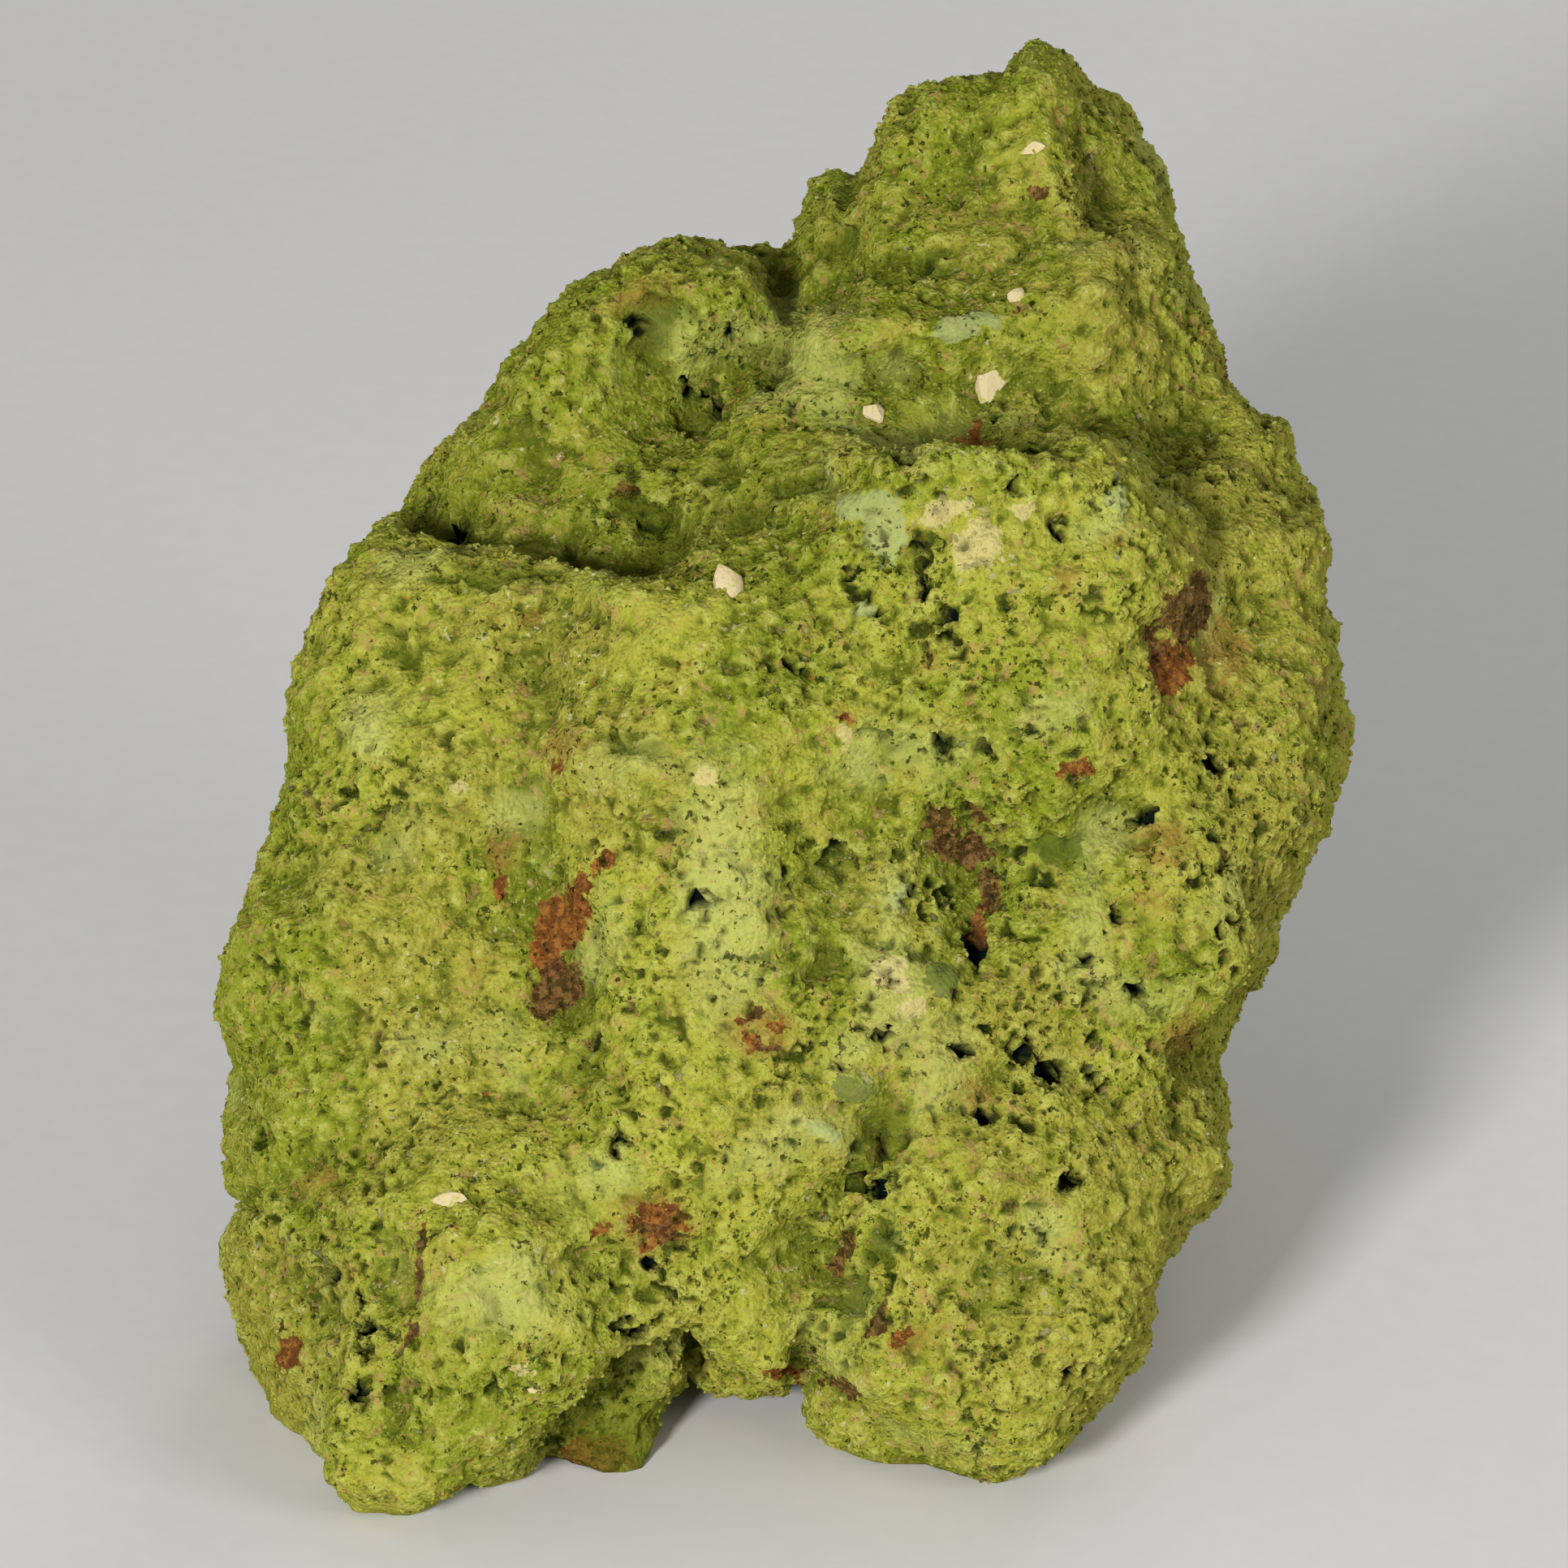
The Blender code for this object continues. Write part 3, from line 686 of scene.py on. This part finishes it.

# %% [markdown]
# The nontronite finish
# The colour is built in layers, from the broad to the fine, the way a painter would: two greens that
# drift over the stone, the darker one partly painted shade, powder on the tips, olive painted shade in
# the hollows and creases, stains, and the painted shade of the pores and pits last. The relief
# attributes drive the first ones, so colour and shape agree. The finest grain is only a bump, because
# a mesh that fine would be too heavy.

# %% Colours
YELLOW_GREEN = (0.335, 0.342, 0.037)
LEAF_GREEN = (0.20, 0.238, 0.015)
TAN_CLAY = (0.295, 0.26, 0.04)
STRAW = (0.355, 0.315, 0.046)
POWDER = (0.45, 0.45, 0.10)
# Olive serves as painted shade in the hollows, the creases and the shaded hollows, and as a darker grain
# tint elsewhere.
OLIVE = (0.088, 0.108, 0.008)
# The darks of the pores, the holes and the pits are painted shade.
PORE_GREEN = (0.014, 0.022, 0.003)
PIT_BLACK = (0.003, 0.007, 0.006)
PACKED_CLAY = (0.43, 0.45, 0.125)
SPECK_TAN = (0.38, 0.23, 0.08)
SPECK_PALE = (0.55, 0.50, 0.26)
RUST_ORANGE = (0.29, 0.12, 0.025)
RUST_RED = (0.13, 0.048, 0.012)
UMBER_BROWN = (0.05, 0.02, 0.008)
UMBER_LIGHT = (0.2, 0.1, 0.032)
TAWNY = (0.27, 0.165, 0.032)
CREAM = (0.52, 0.44, 0.17)
GREY_GREEN = (0.27, 0.315, 0.118)
BOTTLE_GREEN = (0.06, 0.095, 0.022)


def colour_layer(tree, below, above, mask):
    """Lays one colour over another where the mask is 1."""
    node = add_node(tree, "ShaderNodeMix", data_type="RGBA")
    for socket, value in zip((node.inputs[6], node.inputs[7]), (below, above)):
        if isinstance(value, tuple):
            socket.default_value = (*value, 1)
        else:
            tree.links.new(value, socket)
    tree.links.new(mask, node.inputs[0])
    return node.outputs[2]


def attribute_value(tree, name):
    node = add_node(tree, "ShaderNodeAttribute", attribute_name=name)
    return node.outputs["Fac"]


def placed_group(tree, group, vector, values):
    node = add_node(tree, "ShaderNodeGroup", node_tree=group)
    tree.links.new(vector, node.inputs["Vector"])
    for name, value in values.items():
        node.inputs[name].default_value = value
    return node


def grain_at(tree, vector, size):
    return placed_group(tree, FINE_GRAIN, vector, {"Size in mm": size})


def spots_at(tree, vector, size, cluster, threshold):
    values = {"Size in mm": size, "Cluster size in mm": cluster, "Threshold": threshold}
    return placed_group(tree, CLUSTERED_SPOTS, vector, values).outputs["Mask"]


def patches_at(tree, vector, size, detail=5.0, roughness=0.7):
    """Noise whose patches are about this many millimetres wide."""
    return noise_node(tree, vector, PER_METRE / size, detail, roughness)


def new_material(name):
    material = bpy.data.materials.new(name)
    material.use_nodes = True
    tree = material.node_tree
    shader = tree.nodes["Principled BSDF"]
    vector = add_node(tree, "ShaderNodeTexCoord").outputs["Object"]
    return material, tree, shader, vector


def bump(tree, shader, height, distance):
    node = add_node(tree, "ShaderNodeBump")
    node.inputs["Distance"].default_value = distance
    node.inputs["Strength"].default_value = 1.0
    tree.links.new(height, node.inputs["Height"])
    tree.links.new(node.outputs["Normal"], shader.inputs["Normal"])


# %% The layers of the clay
# Sizes of the patches, in millimetres.
DRIFT_SIZE = 5
STRAW_SIZE = 2.2
LEAF_SIZE = 1.3
POWDER_SIZE = 0.9
BREAK_SIZE = 0.7
RUSTY_SIZE = 0.5
# Colour, size, cluster size, threshold and cover of each kind of speck.
SPECKS = [
    (SPECK_TAN, 0.8, 5.0, 0.6, 0.55),
    (SPECK_PALE, 0.6, 7.0, 0.66, 0.7),
    (RUST_ORANGE, 0.55, 4.0, 0.68, 0.7),
]
# Size, cluster size and threshold of the little holes, sparse ones and close ones.
SPARSE_HOLES = (0.42, 4.0, 0.63)
CLOSE_HOLES = (0.6, 2.5, 0.6)
# How much of what lies below each stain and each painted shade hides, from 0 to 1.
PALE_COVER = 0.62
CREAMY_COVER = 0.85
GREY_COVER = 0.7
BOTTLE_COVER = 0.7
UMBER_COVER = 0.9
HOLE_COVER = 0.85
PORE_COVER = 0.95
SHADE_COVER = 0.7


def clay_colour(tree, vector, grain):
    """The clay itself: its fields of colour, partly painted shade, powder on what stands out, and olive
    painted shade in what lies low.
    """
    proud = attribute_value(tree, "proud")
    tint = grain.outputs["Tint"]
    wander = remap(tree, patches_at(tree, vector, DRIFT_SIZE, 5.0, 0.65), 0.3, 0.7, -0.35, 0.35)
    # The green fields, partly painted shade, and the drift lay the darker green.
    greener = maths(tree, "ADD", attribute_value(tree, "green"), wander)
    colour = colour_layer(tree, YELLOW_GREEN, LEAF_GREEN, remap(tree, greener, 0.0, 1.0))
    browner = maths(tree, "SUBTRACT", attribute_value(tree, "tan"), wander)
    colour = colour_layer(tree, colour, TAN_CLAY, remap(tree, browner, 0.1, 1.1, 0.0, 0.7))
    straw = patches_at(tree, vector, STRAW_SIZE)
    colour = colour_layer(tree, colour, STRAW, remap(tree, straw, 0.5, 0.62, 0.0, 0.7))
    leaf = patches_at(tree, vector, LEAF_SIZE)
    colour = colour_layer(tree, colour, LEAF_GREEN, remap(tree, leaf, 0.52, 0.62, 0.0, 0.55))
    colour = colour_layer(tree, colour, TAN_CLAY, remap(tree, leaf, 0.44, 0.36, 0.0, 0.5))
    # Painted shade: olive darkens the clay in the broad hollows.
    painted_hollow_shade = remap(tree, attribute_value(tree, "broad"), -0.7, 0.15, 0.7, 0.0)
    colour = colour_layer(tree, colour, OLIVE, painted_hollow_shade)
    powder = remap(tree, patches_at(tree, vector, POWDER_SIZE, 4.0, 0.65), 0.35, 0.65, 0.05, 0.65)
    tips = times(tree, remap(tree, proud, 0.0, 1.0), powder)
    colour = colour_layer(tree, colour, POWDER, tips)
    # Painted shade: olive in the creases, where the clay lies below the surface round it.
    colour = colour_layer(tree, colour, OLIVE, remap(tree, proud, -1.0, 0.0, 0.9, 0.0))
    rough_here = maths(tree, "MAXIMUM", remap(tree, straw, 0.56, 0.44), attribute_value(tree, "porous"))
    dark_grain = times(tree, remap(tree, tint, 0.47, 0.36, 0.0, 0.9), rough_here)
    colour = colour_layer(tree, colour, OLIVE, dark_grain)
    return colour_layer(tree, colour, POWDER, remap(tree, tint, 0.53, 0.64, 0.0, 0.55))


def speckled(tree, vector, colour):
    """Specks of tan, rust and pale grains, each in clusters of its own."""
    for tint, size, cluster, threshold, cover in SPECKS:
        specks = spots_at(tree, vector, size, cluster, threshold)
        colour = colour_layer(tree, colour, tint, times(tree, specks, cover))
    return colour


def ragged(tree, name, breaking, cover=1.0):
    """A painted mask whose edge is eaten into by noise."""
    bite = remap(tree, breaking, 0.35, 0.65, -0.45, 0.3)
    eaten = maths(tree, "ADD", attribute_value(tree, name), bite)
    return remap(tree, eaten, 0.3, 0.48, 0.0, cover)


def stained(tree, vector, colour):
    """Packed pale clay, creamy patches, glassy grains, and the rusty and umber stains."""
    breaking = patches_at(tree, vector, BREAK_SIZE)
    thin = remap(tree, breaking, 0.34, 0.5, 0.4, 1.0)
    packed = times(tree, attribute_value(tree, "pale"), times(tree, thin, PALE_COVER))
    colour = colour_layer(tree, colour, PACKED_CLAY, packed)
    colour = colour_layer(tree, colour, CREAM, ragged(tree, "creamy", breaking, CREAMY_COVER))
    colour = colour_layer(tree, colour, GREY_GREEN, ragged(tree, "glassy", breaking, GREY_COVER))
    colour = colour_layer(tree, colour, BOTTLE_GREEN, ragged(tree, "bottle", breaking, BOTTLE_COVER))
    broken = remap(tree, breaking, 0.4, 0.55, 0.1, 0.8)
    colour = colour_layer(tree, colour, TAWNY, times(tree, attribute_value(tree, "tawny"), broken))
    rusty = patches_at(tree, vector, RUSTY_SIZE)
    rust_colour = colour_layer(tree, RUST_ORANGE, RUST_RED, remap(tree, rusty, 0.4, 0.56))
    colour = colour_layer(tree, colour, rust_colour, ragged(tree, "rust", breaking))
    umber_colour = colour_layer(tree, UMBER_BROWN, UMBER_LIGHT, remap(tree, rusty, 0.45, 0.58))
    return colour_layer(tree, colour, umber_colour, ragged(tree, "umber", breaking, UMBER_COVER))


def pore_shade(tree, vector):
    """Little holes, sparse everywhere and close together where the clay is porous. The mask sets both
    their painted shade and their dip in the bump.
    """
    sparse = spots_at(tree, vector, *SPARSE_HOLES)
    close = spots_at(tree, vector, *CLOSE_HOLES)
    return maths(tree, "MAXIMUM", sparse, times(tree, close, attribute_value(tree, "porous")))


# %% The finish
# Size of the finest grain in millimetres, and how deep a hole is beside it.
GRAIN_SIZE = 0.27
HOLE_DEPTH = 0.4
# How much of the bump is left on glassy grains.
GLASS_CRUMBLE = 0.6
CLAY_ROUGHNESS = 1.0
CLAY_SPECULAR = 0.03
CLAY_BUMP = 0.28 * MM


def nontronite_material():
    material, tree, shader, vector = new_material("nontronite clay")
    grain = grain_at(tree, vector, GRAIN_SIZE)
    colour = stained(tree, vector, speckled(tree, vector, clay_colour(tree, vector, grain)))
    holes = pore_shade(tree, vector)
    # Painted shade in the little holes.
    colour = colour_layer(tree, colour, PORE_GREEN, times(tree, holes, HOLE_COVER))
    # Painted shade in the shaded hollows.
    shade = times(tree, attribute_value(tree, "shaded"), SHADE_COVER)
    colour = colour_layer(tree, colour, OLIVE, shade)
    # Painted shade in the pores, which are also dug into the skin.
    painted_pore_shade = times(tree, attribute_value(tree, "pores"), PORE_COVER)
    colour = colour_layer(tree, colour, PORE_GREEN, painted_pore_shade)
    # Painted shade, near black, in the deep pits.
    colour = colour_layer(tree, colour, PIT_BLACK, attribute_value(tree, "deep"))
    tree.links.new(colour, shader.inputs["Base Color"])
    shader.inputs["Roughness"].default_value = CLAY_ROUGHNESS
    shader.inputs["Specular IOR Level"].default_value = CLAY_SPECULAR
    glassy = maths(tree, "MAXIMUM", attribute_value(tree, "glassy"), attribute_value(tree, "bottle"))
    crumbly = remap(tree, glassy, 0.0, 1.0, 1.0, GLASS_CRUMBLE)
    height = maths(tree, "SUBTRACT", grain.outputs["Height"], times(tree, holes, HOLE_DEPTH))
    bump(tree, shader, times(tree, height, crumbly), CLAY_BUMP)
    return material


nontronite = nontronite_material()
stone.data.materials.append(nontronite)
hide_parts(STONE)
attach(stone, BODY)
print("materials:", [material.name for material in bpy.data.materials])

# %% [markdown]
# Loose crumbs
# The last bit of roughness is real crumbs, a quarter of a millimetre or so across, stuck all over the
# clay. They break the edge of the stone against the background as nothing else does. Each crumb is a
# twenty-sided lump, scattered by Geometry Nodes and turned into plain mesh. The points inherit the
# skin's attributes, so a crumb on rust is rusty. There are several scatters, so that no piece grows
# too heavy. Their radii below are in millimetres.

# %% Scatter the crumbs
CRUMB_RADIUS = (0.06, 0.18)
CRUMB_SCATTERS = 3
CRUMBS_EACH = 9600
CRUMB_UNEVENNESS = 0.35


def crumb_shape():
    """One angular crumb of unit size, for scattering."""
    bm = bmesh.new()
    bmesh.ops.create_icosphere(bm, subdivisions=1, radius=1)
    for vert in bm.verts:
        vert.co *= 1 + CRUMB_UNEVENNESS * noise.noise(vert.co * 2.3)
    return object_from(bm, "crumb_shape")


def scatter_tree(name, shape, density, seed):
    """Geometry Nodes that strew a shape over a mesh and keep only the strewn shapes."""
    tree = bpy.data.node_groups.new(name, "GeometryNodeTree")
    tree.interface.new_socket("Geometry", in_out="INPUT", socket_type="NodeSocketGeometry")
    tree.interface.new_socket("Geometry", in_out="OUTPUT", socket_type="NodeSocketGeometry")
    given = add_node(tree, "NodeGroupInput")
    result = add_node(tree, "NodeGroupOutput")
    room = add_node(tree, "GeometryNodeInputNamedAttribute", data_type="FLOAT")
    room.inputs["Name"].default_value = "crumb_room"
    strew = add_node(tree, "GeometryNodeDistributePointsOnFaces", distribute_method="RANDOM")
    tree.links.new(given.outputs[0], strew.inputs["Mesh"])
    tree.links.new(times(tree, room.outputs["Attribute"], density), strew.inputs["Density"])
    strew.inputs["Seed"].default_value = seed
    size = add_node(tree, "FunctionNodeRandomValue", data_type="FLOAT_VECTOR")
    size.inputs[0].default_value = [CRUMB_RADIUS[0] * MM] * 3
    size.inputs[1].default_value = [CRUMB_RADIUS[1] * MM] * 3
    size.inputs["Seed"].default_value = seed + 100
    turn = add_node(tree, "FunctionNodeRandomValue", data_type="FLOAT_VECTOR")
    turn.inputs[1].default_value = [math.tau] * 3
    turn.inputs["Seed"].default_value = seed + 200
    model = add_node(tree, "GeometryNodeObjectInfo")
    model.inputs["Object"].default_value = shape
    place = add_node(tree, "GeometryNodeInstanceOnPoints")
    tree.links.new(strew.outputs["Points"], place.inputs["Points"])
    tree.links.new(model.outputs["Geometry"], place.inputs["Instance"])
    tree.links.new(size.outputs[0], place.inputs["Scale"])
    tree.links.new(turn.outputs[0], place.inputs["Rotation"])
    solid = add_node(tree, "GeometryNodeRealizeInstances")
    tree.links.new(place.outputs["Instances"], solid.inputs["Geometry"])
    tree.links.new(solid.outputs["Geometry"], result.inputs[0])
    return tree


def strewn(name, carrier, shape, density, seed):
    """A plain mesh of the shapes strewn over the carrier."""
    modifier = carrier.modifiers.new(name, "NODES")
    modifier.node_group = scatter_tree(name, shape, density, seed)
    bpy.context.view_layer.update()
    shown = carrier.evaluated_get(bpy.context.evaluated_depsgraph_get())
    mesh = bpy.data.meshes.new_from_object(shown)
    carrier.modifiers.remove(modifier)
    made = bpy.data.objects.new(name, mesh)
    bpy.context.scene.collection.objects.link(made)
    return made


def strew_crumbs():
    room = np.zeros(len(stone.data.vertices), dtype=np.float32)
    stone.data.attributes["crumb_room"].data.foreach_get("value", room)
    area = sum(polygon.area for polygon in stone.data.polygons) * float(room.mean())
    shape = crumb_shape()
    pieces = []
    for seed in range(1, CRUMB_SCATTERS + 1):
        piece = strewn(f"crumbs_{seed}", stone, shape, CRUMBS_EACH / area, seed)
        piece.data.materials.clear()
        piece.data.materials.append(nontronite)
        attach(piece, BODY)
        pieces.append(piece)
    bpy.data.objects.remove(shape)
    return pieces


crumbs = strew_crumbs()
print("triangles in each scatter of crumbs:", [len(piece.data.polygons) for piece in crumbs])

# %% [markdown]
# Grains of other minerals
# A few cream and white grains stand out of the clay. Each is a small lump cut by a few planes, which
# gives it the flat breaks of a real grain, and is set into the clay where it is seen, along the
# surface there. One function makes them all, from a short list. The glassy green grains need none of
# this: they are broken flush with the clay, so the skin itself carries them.

# %% Shape and set the grains
# Across, up, half width, half height, half thickness, roll, and how far the middle is sunk.
CREAM_GRAINS = {
    "cream_grain_left": (-3.0, 10.2, 1.0, 1.6, 0.8, 8, 0.2),
    "cream_grain_saddle": (10.4, 20.3, 1.0, 1.5, 0.8, -25, 0.15),
    "cream_grain_small": (4.7, 19.1, 0.7, 0.75, 0.5, 20, 0.05),
    "cream_grain_upper": (11.9, 25.1, 0.45, 0.55, 0.35, -10, 0.05),
    "white_flake": (-17.1, -21.4, 1.1, 0.5, 0.35, -12, 0.05),
    "white_chip": (-12.9, -31.1, 0.28, 0.18, 0.25, -15, 0.0),
    "white_streak": (12.8, 32.7, 0.8, 0.35, 0.3, 20, 0.1),
}
GRAIN_CUTS = 12
# How far from the middle of a lump, whose radius is 1, the cuts are made.
CUT_RANGE = (0.55, 0.8)
CREAM_GRAIN = (0.49, 0.395, 0.21)
CREAM_ROUGHNESS = 0.85
CREAM_BUMP = 0.04 * MM
# Size, cluster size and threshold of the clay dust on a grain.
DUST = (0.6, 2.0, 0.57)


def cut_grain(rng):
    """A unit lump with flat breaks, closed again after each cut."""
    bm = bmesh.new()
    bmesh.ops.create_icosphere(bm, subdivisions=3, radius=1)
    for _ in range(GRAIN_CUTS):
        direction = Vector(rng.normal(size=3)).normalized()
        geometry = bm.verts[:] + bm.edges[:] + bm.faces[:]
        place = direction * rng.uniform(*CUT_RANGE)
        bmesh.ops.bisect_plane(bm, geom=geometry, plane_co=place, plane_no=direction, clear_outer=True)
        bmesh.ops.holes_fill(bm, edges=[edge for edge in bm.edges if edge.is_boundary])
    bmesh.ops.triangulate(bm, faces=bm.faces[:])
    bmesh.ops.recalc_face_normals(bm, faces=bm.faces[:])
    return bm


def set_in_clay(bm, surface, across, up, wide, high, thick, roll, sunk):
    """Lays a unit lump on the clay that is seen at this place, and sinks it in a little."""
    target = PICTURE_MIDDLE + (RIGHT * across + UP * up) * MM
    hit, normal, _, _ = surface.ray_cast(EYE, (target - EYE).normalized())
    outward = (normal - AWAY).normalized()
    side = (RIGHT - outward * RIGHT.dot(outward)).normalized()
    axes = Matrix((side, outward.cross(side), outward)).transposed().to_4x4()
    turn = Matrix.Rotation(math.radians(roll), 4, "Z")
    size = Matrix.Diagonal((wide * MM, high * MM, thick * MM, 1))
    place = Matrix.Translation(hit - outward * sunk * MM)
    bmesh.ops.transform(bm, matrix=place @ axes @ turn @ size, verts=bm.verts)


def cream_material():
    """A dull cream mineral with clay dust on it."""
    material, tree, shader, vector = new_material("cream grain")
    grain = grain_at(tree, vector, 0.2)
    dust = times(tree, spots_at(tree, vector, *DUST), 0.85)
    darker = tuple(0.7 * part for part in CREAM_GRAIN)
    mixed = colour_layer(tree, darker, CREAM_GRAIN, remap(tree, grain.outputs["Tint"], 0.3, 0.5))
    tree.links.new(colour_layer(tree, mixed, YELLOW_GREEN, dust), shader.inputs["Base Color"])
    shader.inputs["Roughness"].default_value = CREAM_ROUGHNESS
    bump(tree, shader, grain.outputs["Height"], CREAM_BUMP)
    return material


def set_grains(places, material, surface, rng):
    for name, place in places.items():
        bm = cut_grain(rng)
        set_in_clay(bm, surface, *place)
        grain = object_from(bm, name)
        grain.data.materials.append(material)
        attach(grain, BODY)


finished_clay = bmesh.new()
finished_clay.from_mesh(stone.data)
clay_surface = BVHTree.FromBMesh(finished_clay)
finished_clay.free()
set_grains(CREAM_GRAINS, cream_material(), clay_surface, np.random.default_rng(5))
print("grains set:", len(CREAM_GRAINS))

# %% [markdown]
# Floor and light
# A plain pale floor and soft light. The key lamp stands in front, a little to the left and hardly above
# the camera, so crests and tips face it and the tops of the crumbs don't. A weaker one fills the right
# flank, and another the back. The world is pale and dim.

# %% Floor, lamps and world
FLOOR_SIZE = 4.0
FLOOR_COLOUR = (0.62, 0.61, 0.59)
# Speckles to the metre.
FLOOR_SPECKLES = 600
# Place in metres, size in metres and power in watts.
LAMPS = {
    "key": ((-0.27, -0.68, 0.29), 0.12, 7.8),
    "fill": ((0.60, -0.45, 0.30), 0.35, 2.4),
    "back": ((0.25, 0.75, 0.16), 0.35, 3.0),
}
WORLD_COLOUR = (0.95, 0.97, 1.0)
WORLD_STRENGTH = 0.3


def make_floor():
    bm = bmesh.new()
    bmesh.ops.create_grid(bm, x_segments=1, y_segments=1, size=FLOOR_SIZE / 2)
    floor = object_from(bm, "floor")
    material, tree, shader, vector = new_material("pale board")
    speckle = noise_node(tree, vector, FLOOR_SPECKLES, 3.0)
    darker = tuple(0.94 * part for part in FLOOR_COLOUR)
    tree.links.new(colour_layer(tree, FLOOR_COLOUR, darker, speckle), shader.inputs["Base Color"])
    shader.inputs["Roughness"].default_value = 0.85
    floor.data.materials.append(material)
    return floor


def lamp(name, place, size, power):
    """A square soft lamp that shines at the middle of the stone."""
    data = bpy.data.lights.new(name, "AREA")
    data.size = size
    data.energy = power
    made = bpy.data.objects.new(name, data)
    made.location = place
    made.rotation_euler = (PICTURE_MIDDLE - Vector(place)).to_track_quat("-Z", "Y").to_euler()
    bpy.context.scene.collection.objects.link(made)
    return made


def make_world(strength):
    world = bpy.data.worlds.new("pale room")
    world.use_nodes = True
    background = world.node_tree.nodes["Background"]
    background.inputs["Color"].default_value = (*WORLD_COLOUR, 1)
    background.inputs["Strength"].default_value = strength
    bpy.context.scene.world = world


make_floor()
for name, (place, size, power) in LAMPS.items():
    lamp(name, place, size, power)
make_world(WORLD_STRENGTH)
bpy.context.scene.view_settings.view_transform = "Standard"
